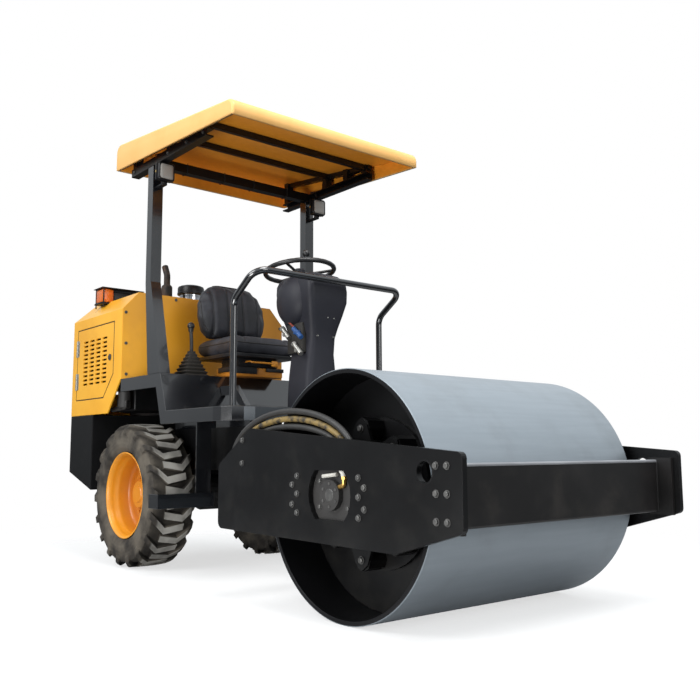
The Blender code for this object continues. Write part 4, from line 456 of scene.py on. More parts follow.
piece("plate_bolts", solid, bolt_steel, "black_paint", body="drum_frame")
solid = bmesh.new()
ring = [(0.6185, 0.0385), (0.6405, 0.0385), (0.6408, 0.0375), (0.6405, 0.0338), (0.6185, 0.0338)]
for sign in (-1, 1):
    spun(solid, [(sign * a, r) for a, r in [*ring, ring[0]]], (1.5065, 0, 0.55), steps=48)
piece("eye_bushings", solid, satin_black, "black_paint", body="drum_frame")
solid = bmesh.new()
damper_circle, damper_count = 0.24, 8
for sign in (-1, 1):
    for k in range(damper_count):
        turn = 2 * math.pi * k / damper_count
        x, z = drum_x + damper_circle * math.cos(turn), drum_z + damper_circle * math.sin(turn)
        bolt(solid, (x, sign * 0.487, z), (0, sign, 0), 0.02)
piece("damper_bolts", solid, bolt_steel, "black_paint", body="drum")

# Front beam: a box pressed from plate, with a half-round bar along its upper edge in light grey,
# a painted highlight along that edge, and a weld bead where it meets its end flanges.
dusty = {"dust": (58, 54, 50), "Specular_IOR_Level": 0.4}
beam_paint = enamel("beam_paint", (24, 23, 23), (34, 32, 32), 0.3, 0.05, **dusty)
paint_nodes(beam_paint, "front_beam", edge=0.001)
solid = bmesh.new()
beam_back, beam_front, beam_low, beam_high = 1.546, 1.5825, 0.371, 0.574
for sign in (-1, 1):
    corners = [(beam_back, beam_low), (beam_front, beam_low), (beam_front, beam_high), (beam_back, beam_high)]
    pipe(solid, bent([(x, sign * 0.6005, z) for x, z in corners], 0.01, 30), 0.0035, 8)
piece("beam_welds", solid, beam_paint, "black_paint", sharp=60, body="drum_frame")
solid = bmesh.new()
pipe(solid, [(1.5765, y, 0.5705) for y in (-0.601, 0.0, 0.601)], 0.0072, 16)
# Painted highlight: the bar's light grey streaks stand in for light caught along the beam's top edge.
edge_highlight_steel = Finish("painted_highlight_edge", Metallic=0.4)
highlight_streaks = edge_highlight_steel.noise(12, 6, edge_highlight_steel.scaled(3, 0.4, 3))
edge_highlight_steel.tint(highlight_streaks, (112, 113, 116), (176, 178, 182))
edge_highlight_steel.feed("Roughness", 0.3 + 0.2 * highlight_streaks)
edge_highlight_steel.grain(300, 3, 0.1, 0.0006)
piece("beam_top_bead", solid, edge_highlight_steel, "black_paint", body="drum_frame")

# Drum drives: cast gearboxes with hydraulic motors bolted on, in dark machine enamel. An elbow
# and a pale sleeve on the motor's port show through the opening in the side plate.
sides = (("right", -1), ("left", 1))
grain = (220, 3, 0.3, 0.001)
cast_iron = coated("cast_iron", (6, 5), (30, 30, 31), (58, 56, 54), (0.45, 0.2), grain, Metallic=0.2)
paint_nodes(cast_iron, "drum_drive_left", "drum_drive_right", "engine_block", "rear_axle")
brass = coated("elbow_brass", (50, 3), (150, 118, 58), (190, 152, 84), Metallic=0.8, Roughness=0.35)
grain = (200, 3, 0.2, 0.0006)
sleeve = coated("pale_sleeve", (30, 4), (150, 148, 140), (206, 204, 196), None, grain, Roughness=0.6)
for side, sign in sides:
    out = Vector((0, sign, 0))
    solid = bmesh.new()
    for k in range(6):
        turn = math.pi * (k + 0.5) / 3
        at = Vector((drum_x + 0.041 * math.cos(turn), sign * 0.6377, drum_z + 0.041 * math.sin(turn)))
        rod(solid, at - out * 0.002, at + out * 0.0022, 0.006, 6)
    rod(solid, (drum_x, sign * 0.637, drum_z), (drum_x, sign * 0.6398, drum_z), 0.024, 32, end_radius=0.021)
    for x, z in ((-0.078, -0.045), (0.083, -0.045), (-0.078, 0.048)):
        bolt(solid, (drum_x + x, sign * 0.6177, drum_z + z), out, 0.014)
    piece(f"motor_bolts_{side}", solid, bolt_steel, "cast_iron", body="drum_frame")
    solid = bmesh.new()
    y = sign * 0.626
    port_x = drum_x + 0.07
    pipe(solid, bent([(drum_x + 0.045, y, 0.49), (port_x, y, 0.496), (port_x, y, 0.53)], 0.012, 20), 0.0085)
    rod(solid, (port_x, y, 0.517), (port_x, y, 0.527), 0.0115, 6)
    piece(f"drive_elbow_{side}", solid, brass, "cast_iron", body="drum_frame")
    solid = bmesh.new()
    pipe(solid, [(port_x, y, 0.527), (port_x - 0.004, y, 0.54), (port_x - 0.014, y, 0.548)], 0.0105)
    rod(solid, (drum_x - 0.05, y, 0.526), (drum_x + 0.03, y, 0.534), 0.0075, 12)
    piece(f"drive_sleeve_{side}", solid, sleeve, "hose_rubber", body="drum_frame")

# Chassis and steering cylinder: welded plate in satin black, with a hard-chromed rod.
paint_nodes(satin_black, "rear_frame", "steering_barrel")
rod_chrome = coated("rod_chrome", (40, 3), (186, 188, 192), (215, 216, 218), (0.08, 0.12), Metallic=1.0)
paint_nodes(rod_chrome, "steering_rod")

# Tyres: black rubber on a carcass, with deep bar lugs that lean in from each shoulder and bend
# past the middle. Rings are moulded into the sidewalls. Dust greys all but the lugs' edges, and
# painted shade darkens the carcass between the lugs.
wheel_x, tyre_radius, lug_count = -0.8975, 0.385, 18
tyre_rubber = Finish("tyre_rubber", Specular_IOR_Level=0.25)
settled = tyre_rubber.step(tyre_rubber.noise(7, 7), 0.34, 0.66)
shade = tyre_rubber.mix(settled, (40, 37, 34), (92, 86, 77))
from_axle = tyre_rubber.length(tyre_rubber.scaled(1, 0, 1, (wheel_x, 0, tyre_radius)))
tread = tyre_rubber.step(from_axle, 0.3795, 0.3845)
shade = tyre_rubber.mix(0.45 * tread + 0.45 * tread * settled, shade, (176, 173, 166))
# Painted shade: the carcass between the lugs and the lower sides of the lugs are darkened.
groove_shade = tyre_rubber.step(from_axle, 0.352, 0.362) * (1.0 - tyre_rubber.step(from_axle, 0.366, 0.376))
tyre_rubber.tint(0.6 * groove_shade, shade, (28, 26, 25))
tyre_rubber.feed("Roughness", 0.72 + 0.2 * settled)
on_wall = 1.0 - tyre_rubber.step(from_axle, 0.325, 0.335)
ribs = tyre_rubber.node("ShaderNodeMath", {0: 300.0 * from_axle}, operation="SINE")
tyre_rubber.bump(on_wall * ribs * 0.35 + 0.5 * tyre_rubber.noise(110, 5), 0.5, 0.002)
# Each line runs from the tyre's middle outwards: way along, share of half the width, drop.
top_line = [(0, 0, 0), (0.7, 0.7, 0.002), (0.9, 0.9, 0.009), (1.0, 0.98, 0.028), (1.3, 0.995, 0.078)]
base_line = [(0, 0, 0.024), (0.7, 0.68, 0.026), (0.9, 0.86, 0.032), (1.0, 0.93, 0.046), (1.3, 0.975, 0.08)]
wall_line = [(0.99, 0.287), (0.985, 0.265), (0.94, 0.25), (0.87, 0.2405), (0.805, 0.233)]
lug_route = [(-1.17, -0.04), (-0.97, 0.0), (-0.35, 0.6), (0.45, 0.45)]  # across, share of a pitch


def between(line, along):
    """The width share and the drop from the tread, at a place across the tyre."""
    for (a, wide_a, drop_a), (b, wide_b, drop_b) in zip(line, line[1:]):
        if along <= b:
            share = (along - a) / (b - a)
            return wide_a + (wide_b - wide_a) * share, drop_a + (drop_b - drop_a) * share
    return line[-1][1:]


def lug(solid, first_angle, side, pitch, half, centre):
    """One bar lug: a bar bent onto the tyre from its shoulder to past the middle."""
    start = len(solid.verts)
    made = bmesh.ops.create_cube(solid, size=1)["verts"]
    edges = {e for v in made for e in v.link_edges}
    long_edges = [e for e in edges if abs(e.verts[0].co.x - e.verts[1].co.x) > 0.5]
    bmesh.ops.subdivide_edges(solid, edges=long_edges, cuts=11, use_grid_fill=True)
    for vert in list(solid.verts)[start:]:
        along = (vert.co.x + 0.5) * 3
        k = min(int(along), 2)
        share = along - k
        (a0, p0), (a1, p1) = lug_route[k], lug_route[k + 1]
        across = a0 + (a1 - a0) * share
        lift = vert.co.z + 0.5
        turn = p0 + (p1 - p0) * share + vert.co.y * (0.4 - 0.13 * lift)
        wide_top, drop_top = between(top_line, abs(across))
        wide_base, drop_base = between(base_line, abs(across))
        wide = wide_base - 0.03 + (wide_top - wide_base + 0.03) * lift
        drop = drop_base + 0.004 + (drop_top - drop_base - 0.004) * lift
        angle = first_angle + turn * pitch
        y = side * math.copysign(wide * half, across)
        out = tyre_radius - drop
        vert.co = centre + Vector((math.sin(angle) * out, y, math.cos(angle) * out))


for side, sign in sides:
    low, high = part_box(f"tyre_{side}")
    middle = (low + high) / 2
    half = (high.y - low.y) / 2
    solid = bmesh.new()
    line = [(w * half, tyre_radius - d) for _, w, d in base_line] + [(half * w, r) for w, r in wall_line]
    spun(solid, [(-y, r) for y, r in reversed(line)] + line[1:], middle, steps=108)
    pitch = 2 * math.pi / lug_count
    for k in range(lug_count):
        for flank in (1, -1):
            lug(solid, (k + flank / 4) * pitch, -sign * flank, pitch, half, middle)
    piece(f"bar_tyre_{side}", solid, tyre_rubber, "tyre_rubber", f"tyre_{side}", sharp=35, body=f"wheel_{side}")

# Rims: a rolled well with a turned-over flange, and a pressed disc welded into it, in orange
# enamel, with painted shade that darkens it deeper into the well. Eight painted wheel nuts hold the disc on the
# hub.
rim_paint = Finish("rim_enamel")
cloud = rim_paint.noise(9, 6)
# Painted shade: the orange darkens from the outer flange inwards, deeper into the well.
depth = rim_paint.node("ShaderNodeMath", {0: rim_paint.axis("Y")}, operation="ABSOLUTE")
shade = rim_paint.mix(rim_paint.step(depth, 0.39, 0.53), (178, 98, 20), (222, 148, 34))
rim_paint.tint(0.35 * rim_paint.step(cloud, 0.4, 0.7), shade, (176, 112, 42))
rim_paint.feed("Roughness", 0.28 + 0.16 * cloud)
rim_paint.grain(300, 2, 0.05, 0.001)
flange = [(0.099, 0.2145), (0.107, 0.22), (0.113, 0.2235), (0.115, 0.228), (0.113, 0.2315)]
bead_seat = [(0.109, 0.2285), (0.107, 0.2245), (0.1, 0.2195)]
well_and_disc = [
    (-0.085, 0.2118), (-0.07, 0.2113), (-0.06, 0.204), (-0.045, 0.2), (0.0, 0.1985), (0.007, 0.193),
    (0.013, 0.186), (0.015, 0.176), (0.014, 0.15), (0.009, 0.14), (0.009, 0.125), (0.013, 0.118), (0.013, 0.08),
    (-0.024, 0.075), (-0.03, 0.07), (-0.03, 0.0315), (0.114, 0.0315), (0.114, 0.07), (0.022, 0.078),
    (0.022, 0.17), (0.03, 0.193), (0.06, 0.204),
]
profile = [(-a, r) for a, r in reversed(flange)] + well_and_disc + flange + bead_seat
profile += [(-a, r) for a, r in reversed(bead_seat)] + [(-flange[-1][0], flange[-1][1])]
for side, sign in sides:
    low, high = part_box(f"tyre_{side}")
    middle = (low + high) / 2
    solid = bmesh.new()
    spun(solid, [(-sign * a, r) for a, r in profile], middle)
    piece(f"dished_rim_{side}", solid, rim_paint, "rim_paint", f"rim_{side}", sharp=38, body=f"wheel_{side}")
    solid = bmesh.new()
    out = Vector((0, sign, 0))
    rod(solid, middle + out * 0.03, middle + out * 0.036, 0.046, 32, end_radius=0.04)
    for k in range(8):
        turn = math.pi * (k + 0.5) / 4
        at = middle + Vector((0.1 * math.cos(turn), -sign * 0.012, 0.1 * math.sin(turn)))
        bolt(solid, at, out, 0.022)
        rod(solid, at, at + out * 0.02, 0.006, 8)
    piece(f"wheel_nuts_{side}", solid, rim_paint, "rim_paint", body=f"wheel_{side}")

# Hood and doors: folded 3 mm sheet in yellow enamel over a dark frame. A rubber seal lies in the
# gap round each door, and its dark colour paints the gap's shade. The bulkhead is a browner yellow
# in clouds, with painted shade that darkens it towards the machine's left side, and it is held by hexagon bolts.
dusty = {"dust": (192, 146, 60), "Specular_IOR_Level": 0.4}
hood_paint = enamel("hood_enamel", (234, 172, 46), (224, 160, 38), 0.26, 0.04, **dusty)
paint_nodes(hood_paint, "hood", "hood_door_left", "hood_door_right", edge=0.002)
bulk_paint = Finish("bulkhead_enamel", Coat_Weight=0.1)
cloud = bulk_paint.noise(3, 6)
# Painted shade: the bulkhead darkens from the machine's right side towards its left, away from the key lamp.
far_side_shade = bulk_paint.step(bulk_paint.axis("Y") + 0.1 * cloud, -0.45, 0.1)
shade = bulk_paint.mix(far_side_shade, (238, 170, 42), (214, 144, 32))
bulk_paint.tint(0.25 * bulk_paint.step(cloud, 0.45, 0.7), shade, (180, 120, 40))
bulk_paint.feed("Roughness", 0.34 + 0.16 * cloud)
bulk_paint.grain(300, 2, 0.06, 0.001)
paint_nodes(bulk_paint, "hood_bulkhead", edge=0.0015)
grain = (260, 2, 0.2, 0.0006)
# Dark rubber: real rubber on the lever's bellows, and painted shade where it fills the door gaps and the console's
# opening.
rubber_and_shade_black = coated("rubber_and_shade_black", (40, 3), (20, 19, 18), (38, 34, 28), None, grain, Roughness=0.7)
door_low, door_high, door_back, door_front = 0.929, 1.359, -1.5965, -1.0705
door_corners = [(-1.1973, door_low), (door_front, 1.0598), (door_front, door_high), (door_back, door_high)]
seam_x = -1.3969
door_face, hinge_x, hinge_y = 0.545, -1.5935, 0.548
for side, sign in sides:
    # Painted shade: a dark seal cord set in each door's gap stands in for the shade inside the gap.
    corners = [(seam_x, door_low), *door_corners, (door_back, door_low), (seam_x - 0.001, door_low)]
    path = bent([(x, sign * 0.5415, z) for x, z in corners], 0.004, 30)
    solid = bmesh.new()
    pipe(solid, path[:-1], 0.0045, 8, closed=True)
    piece(f"door_seal_{side}", solid, rubber_and_shade_black, "hose_rubber", sharp=60)
    solid = bmesh.new()
    latch = Vector((-1.1175, sign * door_face, 1.157))
    out = Vector((0, sign, 0))
    rod(solid, latch - out * 0.002, latch + out * 0.004, 0.019, 32)
    rod(solid, latch, latch + out * 0.0065, 0.014, 24, end_radius=0.012)
    slot_half = Vector((0.002, 0.002, 0.01))
    block(solid, latch + out * 0.008 - slot_half, latch + out * 0.008 + slot_half, 0.0008)
    piece(f"door_latch_{side}", solid, bolt_steel, "black_paint", body=f"{side}_door")
    solid = bmesh.new()
    near_y, far_y = sorted((sign * 0.5445, sign * 0.5462))
    for low_z in (0.992, 1.196):
        hinge = Vector((hinge_x, sign * hinge_y, low_z))
        rod(solid, hinge - Vector((0, 0, 0.0005)), hinge + Vector((0, 0, 0.1005)), 0.0066, 16)
        for k in range(3):
            z = low_z + 0.018 + k * 0.032
            rod(solid, (-1.578, sign * door_face, z), (-1.578, sign * 0.5475, z), 0.0035, 10)
        block(solid, (-1.589, near_y, low_z), (-1.569, far_y, low_z + 0.1), 0.0005)
    piece(f"door_hinges_{side}", solid, zinc, "cast_iron", body=f"{side}_door")
solid = bmesh.new()
for y, z in ((0.526, 1.4), (0.521, 1.224), (0.515, 1.05), (0.216, 1.504), (0.06, 1.504)):
    for sign in (-1, 1):
        bolt(solid, (-0.9625, sign * y, z), (1, 0, 0), 0.012)
piece("bulkhead_bolts", solid, bolt_steel, "black_paint")

# Engine bay: a ribbed black hydraulic tank, its filters and their pipes show under the hood's
# raised front corner, and the radiator's core stands behind the rear vents.
solid = bmesh.new()
block(solid, (-1.215, -0.45, 0.846), (-0.985, 0.45, 1.004), 0.012, 3)
for x in (-1.15, -1.1, -1.05):
    block(solid, (x - 0.004, -0.456, 0.86), (x + 0.004, 0.456, 0.99), 0.002)
piece("bay_tank", solid, satin_black, "black_paint")
core_black = Finish("core_black", Metallic=0.4, Roughness=0.5)
fins = core_black.bands(40.0, 0.3, "Z")
core_black.tint(fins, (14, 14, 14), (58, 56, 52))
core_black.bump(fins, 0.5, 0.002)
solid = bmesh.new()
block(solid, (-1.642, -0.43, 1.02), (-1.6, 0.43, 1.41), 0.004)
for sign in (-1, 1):
    block(solid, (-1.648, sign * 0.44 - 0.02, 1.0), (-1.594, sign * 0.44 + 0.02, 1.4), 0.008)
piece("radiator_core", solid, core_black, "cast_iron")
solid = bmesh.new()
filter_low, filter_high = 0.862, 0.985
filter_line = [(filter_low, 0.03), (0.868, 0.034), (0.95, 0.034), (0.955, 0.028), (filter_high, 0.024)]
upper_pipe = [(-1.0, 0.47, 0.9), (-0.975, 0.505, 0.9), (-0.975, 0.505, 0.86), (-1.16, 0.5, 0.852)]
lower_pipe = [(-1.1, 0.455, 0.93), (-1.1, 0.49, 0.93), (-1.1, 0.49, 0.87), (-1.2, 0.49, 0.86)]
for sign in (-1, 1):
    spun(solid, [(filter_low, 0), *filter_line, (filter_high, 0)], (-1.02, sign * 0.492, 0), "Z", 32)
    for corners, radius in ((upper_pipe, 0.008), (lower_pipe, 0.009)):
        pipe(solid, bent([(x, sign * y, z) for x, y, z in corners], 0.014, 20), radius, 10)
piece("bay_filter", solid, cast_iron, "cast_iron")

# Counterweight: one cast ballast block low at the back of the frame, in coarse satin black, with
# the rounded edges of a casting.
ballast = enamel("ballast_black", black, haze_black, 0.42, 0.2, road_dust, Specular_IOR_Level=0.2)
paint_nodes(ballast, "counterweight", edge=0.004)

# Platform and posts: folded plate and box tube in gloss black that mirrors the room, bolted to the
# chassis. A rubber mat with raised dots lies in the floor tray.
shine = {"Specular_IOR_Level": 1.0, "Coat_Weight": 0.6}
gloss_black = enamel("gloss_black", (13, 14, 17), (20, 21, 24), 0.13, 0.03, **shine)
paint_nodes(gloss_black, "operator_platform", "canopy_post_left", "canopy_post_right", edge=0.002)
mat_rubber = Finish("mat_rubber", Roughness=0.75, Specular_IOR_Level=0.25)
grit = mat_rubber.step(mat_rubber.noise(12, 6), 0.4, 0.7)
mat_rubber.tint(grit, (28, 28, 29), (64, 61, 57))
studs = mat_rubber.node("ShaderNodeTexVoronoi", {"Vector": mat_rubber.place, "Scale": 60.0, "Randomness": 0.0})
mat_rubber.bump(1.0 - mat_rubber.step(studs, 0.3, 0.42), 0.6, 0.002)
solid = bmesh.new()
floor_z, deck_z = 0.8232, 1.0203
outline = bent([(-0.395, -0.53, 0), (0.165, -0.53, 0), (0.165, 0.53, 0), (-0.395, 0.53, 0)], 0.122, 12)
face = solid.faces.new([solid.verts.new((p.x, p.y, floor_z)) for p in outline])
lifted = bmesh.ops.extrude_face_region(solid, geom=[face])["geom"]
bmesh.ops.translate(solid, verts=[g for g in lifted if isinstance(g, bmesh.types.BMVert)], vec=(0, 0, 0.0028))
piece("floor_mat", solid, mat_rubber, "black_paint")
solid = bmesh.new()
for sign in (-1, 1):
    for x in (-0.6, -0.53):
        bolt(solid, (x, sign * 0.497, 1.0265), (0, 0, 1), 0.015)
piece("platform_bolts", solid, bolt_steel, "black_paint")

# Canopy: one moulded glass-fibre tray, pale yellow and glossy outside, browner inside where the
# glass mat shows through. Front and back bend down in an arc, and the side rims turn down square.
pale, paler = (236, 186, 116), (230, 178, 106)
gelcoat = enamel("canopy_gelcoat", pale, paler, 0.36, 0.04, Specular_IOR_Level=0.3)
glass_mat = Finish("canopy_inside", Roughness=0.3)
weave = glass_mat.noise(26, 7)
glass_mat.tint(weave, (226, 138, 34), (250, 168, 58))
glass_mat.bump(weave + 0.5 * glass_mat.noise(120, 4), 0.35, 0.002)
solid = bmesh.new()
back, front, half = -1.0095, 0.2525, 0.592
profile = bent([(back, 0, 2.222), (back, 0, 2.372), (front, 0, 2.235), (front, 0, 2.16)], 0.05, 9)
right, left = ([solid.verts.new((p.x, y, p.z)) for p in profile] for y in (-half, half))
for i in range(len(profile) - 1):
    solid.faces.new((right[i], right[i + 1], left[i + 1], left[i]))
for ring in (right, left):
    solid.faces.new(ring)
bmesh.ops.recalc_face_normals(solid, faces=solid.faces)
corner_edges = []
for edge in solid.edges:
    if len(edge.link_faces) == 2 and abs(edge.verts[0].co.y - edge.verts[1].co.y) < 0.001:
        corner_edges.append(edge)
beveled(solid, corner_edges, 0.014, 4)
bmesh.ops.remove_doubles(solid, verts=solid.verts, dist=0.0002)
shell = piece("canopy_tray", solid, gelcoat, "canopy_shell", "canopy_roof", sharp=40)
shell.data.materials.append(glass_mat.material)
wall = shell.modifiers.new("wall", "SOLIDIFY")
wall.thickness = 0.02
wall.offset = -1
wall.material_offset = 1
wall.material_offset_rim = 0
shell.modifiers.new("flats", "WEIGHTED_NORMAL").keep_sharp = True

# Canopy frame: pressed channels on the posts with stands, rails and cross bars, in satin black.
# Wire clips and small hooks hold the harness to it.
frame_black = enamel("frame_black", black, haze_black, 0.3, 0.06, None, Specular_IOR_Level=0.35)
paint_nodes(frame_black, "canopy_frame", edge=0.001)
solid = bmesh.new()
for sign in (-1, 1):
    for share in (0.02, 0.5, 0.74, 0.94):
        bolt(solid, (wheel_x + 0.83 * share + 0.02, sign * 0.545, 2.183), (0, sign, 0), 0.013)
    for x in (-0.662, -0.642):
        bolt(solid, (x, sign * 0.515, 2.1605), (0, 0, -1), 0.012, washer=False)
piece("frame_bolts", solid, bolt_steel, "black_paint")
harness = Finish("harness_sleeve", Roughness=0.5)
harness.tint(harness.noise(60, 3), (16, 16, 17), (34, 34, 35))
harness.bump(harness.noise(400, 3, harness.scaled(1, 0.2, 1)), 0.4, 0.0008)
solid = bmesh.new()
lead = [(-0.635, 0.53, 2.225), (-0.59, 0.522, 2.219), (-0.565, 0.515, 2.2), (-0.55, 0.515, 2.152)]
clip_x, clip_half, clip_low, clip_high = -0.6525, 0.029, 2.158, 2.215
for sign in (-1, 1):
    pipe(solid, bent([(x, sign * y, z) for x, y, z in lead], 0.018, 15), 0.0042, 8)
    for y in (0.1, 0.34):
        corners = [(-1, clip_high), (-1, clip_low), (1, clip_low), (1, clip_high)]
        corners = [(clip_x + end * clip_half, sign * y, z) for end, z in corners]
        pipe(solid, bent(corners, 0.006, 30), 0.0022, 6)
piece("lamp_harness", solid, harness, "hose_rubber")


# Work lamps: a ribbed housing behind a square lens, hung in a strap from the channel. The lens is
# ribbed glass over a dull reflector, drawn opaque grey with a painted highlight along each rib.
def rounded(half_u, half_v, corner, steps=6):
    """A rectangle about 0 with round corners."""
    points = []
    for quarter, (su, sv) in enumerate(((1, 1), (-1, 1), (-1, -1), (1, -1))):
        for k in range(steps + 1):
            turn = math.pi / 2 * (quarter + k / steps)
            u = su * (half_u - corner) + corner * math.cos(turn)
            points.append((u, sv * (half_v - corner) + corner * math.sin(turn)))
    return points


lamp_black = enamel("lamp_black", (18, 18, 20), (28, 28, 30), 0.35, 0.15, None, Specular_IOR_Level=0.3)
lens_glass = Finish("lamp_lens", Roughness=0.2, Coat_Weight=0.5)
# Painted highlight: the lens's grey lightens and darkens in stripes along its flutes.
flutes_and_glints = lens_glass.bands(60.0, 0.0, "Y")
lens_glass.tint(flutes_and_glints, (118, 114, 108), (184, 181, 174))
lens_glass.bump(flutes_and_glints, 0.5, 0.001)
yellow_zinc = coated("yellow_zinc", (80, 3), (170, 138, 70), (214, 184, 108), Metallic=0.8, Roughness=0.35)
lamp_z = 2.1053
bezel = (  # x, growth of the half sizes, corner radius
    (-0.546, -0.012, 0.01), (-0.542, 0, 0.016), (-0.53, 0, 0.016), (-0.5262, -0.003, 0.014),
    (-0.5262, -0.008, 0.011), (-0.531, -0.009, 0.011),
)
lens = ((-0.534, 0), (-0.528, 0), (-0.5252, -0.003), (-0.5236, -0.011), (-0.5228, -0.024))
for side, sign in sides:
    y = sign * 0.515
    solid = bmesh.new()
    block(solid, (-0.5765, y - 0.045, 2.058), (-0.537, y + 0.045, 2.152), 0.009, 3)
    for z in (2.075, 2.09, 2.105, 2.12, 2.135):
        block(solid, (-0.5775, y - 0.036, z - 0.0025), (-0.57, y + 0.036, z + 0.0025), 0.001)
    rings = []
    for x, grow, corner in bezel:
        outline = rounded(0.047 + grow, 0.0492 + grow, corner)
        rings.append([(x, y + u, lamp_z + v) for u, v in outline])
    loft(solid, rings)
    for end in (-1, 1):
        strap = y + end * 0.0485
        block(solid, (-0.566, strap - 0.0014, 2.06), (-0.55, strap + 0.0014, 2.1545), 0.0006)
    block(solid, (-0.6272, y - 0.015, 2.037), (-0.55, y + 0.015, 2.045), 0.001)
    block(solid, (-0.566, y - 0.015, 2.044), (-0.55, y + 0.015, 2.06), 0.001)
    piece(f"work_lamp_body_{side}", solid, lamp_black, "black_paint", f"work_lamp_{side}")
    solid = bmesh.new()
    rings = []
    for x, grow in lens:
        rings.append([(x, y + u, lamp_z + v) for u, v in rounded(0.0385 + grow, 0.0405 + grow, 0.012)])
    loft(solid, rings)
    piece(f"work_lamp_lens_{side}", solid, lens_glass, None)
    solid = bmesh.new()
    for end in (-1, 1):
        rod(solid, (-0.558, y + end * 0.0475, 2.105), (-0.558, y + end * 0.05, 2.105), 0.007, 6)
    piece(f"work_lamp_screws_{side}", solid, yellow_zinc, "cast_iron")

# Turn lamps: an amber lens beside its black housing on a foot, under a flat guard plate on thin
# pins, one lamp at each side of the hood's top.
amber = Finish("amber_lens", Roughness=0.18, Transmission_Weight=0.25, Coat_Weight=0.4)
amber.tint(amber.noise(30, 2), (226, 96, 10), (244, 132, 24))
amber.bump(amber.bands(70.0, 0.0, "Z"), 0.4, 0.001)
# Each block: inset from the node's two ends, then y from and to, z from and to, edge, segments.
lens_block = (0.014, 0.43, 0.5, 1.515, 1.602, 0.012, 4)
guard_blocks = (
    (0.0, 0.238, 0.511, 1.6035, 1.6085, 0.002, 2),
    (0.02, 0.25, 0.43, 1.523, 1.59, 0.008, 3),
    (0.01, 0.425, 0.508, 1.506, 1.518, 0.003, 2),
)


def side_block(solid, box, sign, inset, near_y, far_y, low_z, high_z, edge, segments):
    """A block as long as a box less an inset at each end, on one side of the machine."""
    low_y, high_y = sorted((sign * near_y, sign * far_y))
    block(solid, (box[0].x + inset, low_y, low_z), (box[1].x - inset, high_y, high_z), edge, segments)


for side, sign in sides:
    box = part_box(f"turn_lamp_{side}")
    solid = bmesh.new()
    side_block(solid, box, sign, *lens_block)
    piece(f"turn_lens_{side}", solid, amber, "lamp_amber", f"turn_lamp_{side}")
    solid = bmesh.new()
    for guard_block in guard_blocks:
        side_block(solid, box, sign, *guard_block)
    for x in (box[0].x + 0.012, box[1].x - 0.012):
        rod(solid, (x, sign * 0.262, 1.523), (x, sign * 0.262, 1.605), 0.005, 10)
        rod(solid, (x, sign * 0.497, 1.487), (x, sign * 0.497, 1.605), 0.004, 10)
    piece(f"turn_lamp_guard_{side}", solid, lamp_black, "black_paint")

# Exhaust and air cleaner: a welded steel silencer under heat-proof black with a bent outlet pipe,
# and a drum-shaped intake with a domed lid over a band of plated steel.
hot_black = Finish("hot_black", Metallic=0.3)
scale = hot_black.noise(16, 6)
hot_black.tint(hot_black.step(scale, 0.42, 0.68), (30, 29, 29), (82, 62, 48))
hot_black.feed("Roughness", 0.5 + 0.25 * scale)
hot_black.grain(180, 4, 0.3, 0.001)
stack_x, exhaust_y, cleaner_y, hood_top = -1.3075, -0.1, 0.07, 1.5233
solid = bmesh.new()
profile = [(1.53, 0.034), (1.647, 0.034), (1.657, 0.03), (1.6633, 0.023), (1.6633, 0)]
spun(solid, [(hood_top, 0), (hood_top, 0.0335), *profile], (stack_x, exhaust_y, 0), "Z", 48)
seam = [(1.575, 0.0335), (1.575, 0.0348), (1.588, 0.0348), (1.588, 0.0335)]
spun(solid, seam, (stack_x, exhaust_y, 0), "Z", 48)
piece("exhaust_silencer", solid, hot_black, "cast_iron", "exhaust_stack")
solid = bmesh.new()
outlet_end = (-1.3395, exhaust_y, 1.786)
route = bent([(stack_x, exhaust_y, 1.65), (stack_x, exhaust_y, 1.728), outlet_end], 0.06, 6)
pipe(solid, route, 0.02, 32)
inward = (route[-2] - route[-1]).normalized()
for face in [f for f in solid.faces if len(f.verts) > 4 and f.calc_center_median().z > 1.7]:
    bmesh.ops.inset_region(solid, faces=[face], thickness=0.002)
    bmesh.ops.translate(solid, verts=face.verts, vec=inward * 0.03)
piece("exhaust_outlet", solid, hot_black, "cast_iron")
solid = bmesh.new()
profile = [
    (1.6153, 0.05), (1.6153, 0.083), (1.618, 0.086), (1.628, 0.086), (1.631, 0.084), (1.66, 0.0835),
    (1.6673, 0.08), (1.673, 0.068), (1.678, 0.05), (1.6795, 0.03), (1.679, 0.02), (1.6833, 0.018), (1.6833, 0.0),
]
spun(solid, profile, (stack_x, cleaner_y, 0), "Z", 64)
spun(solid, [(hood_top, 0.0), (hood_top, 0.07), (1.552, 0.07), (1.552, 0.0)], (stack_x, cleaner_y, 0), "Z", 64)
piece("cleaner_lid", solid, lamp_black, "black_paint", "air_cleaner")
solid = bmesh.new()
beads = [(1.551, 0.0695), (1.556, 0.0705), (1.561, 0.0695), (1.606, 0.0695), (1.611, 0.0705), (1.616, 0.0695)]
spun(solid, [(1.551, 0.05), *beads, (1.616, 0.05)], (stack_x, cleaner_y, 0), "Z", 64)
piece("cleaner_band", solid, rod_chrome, "rod_chrome")


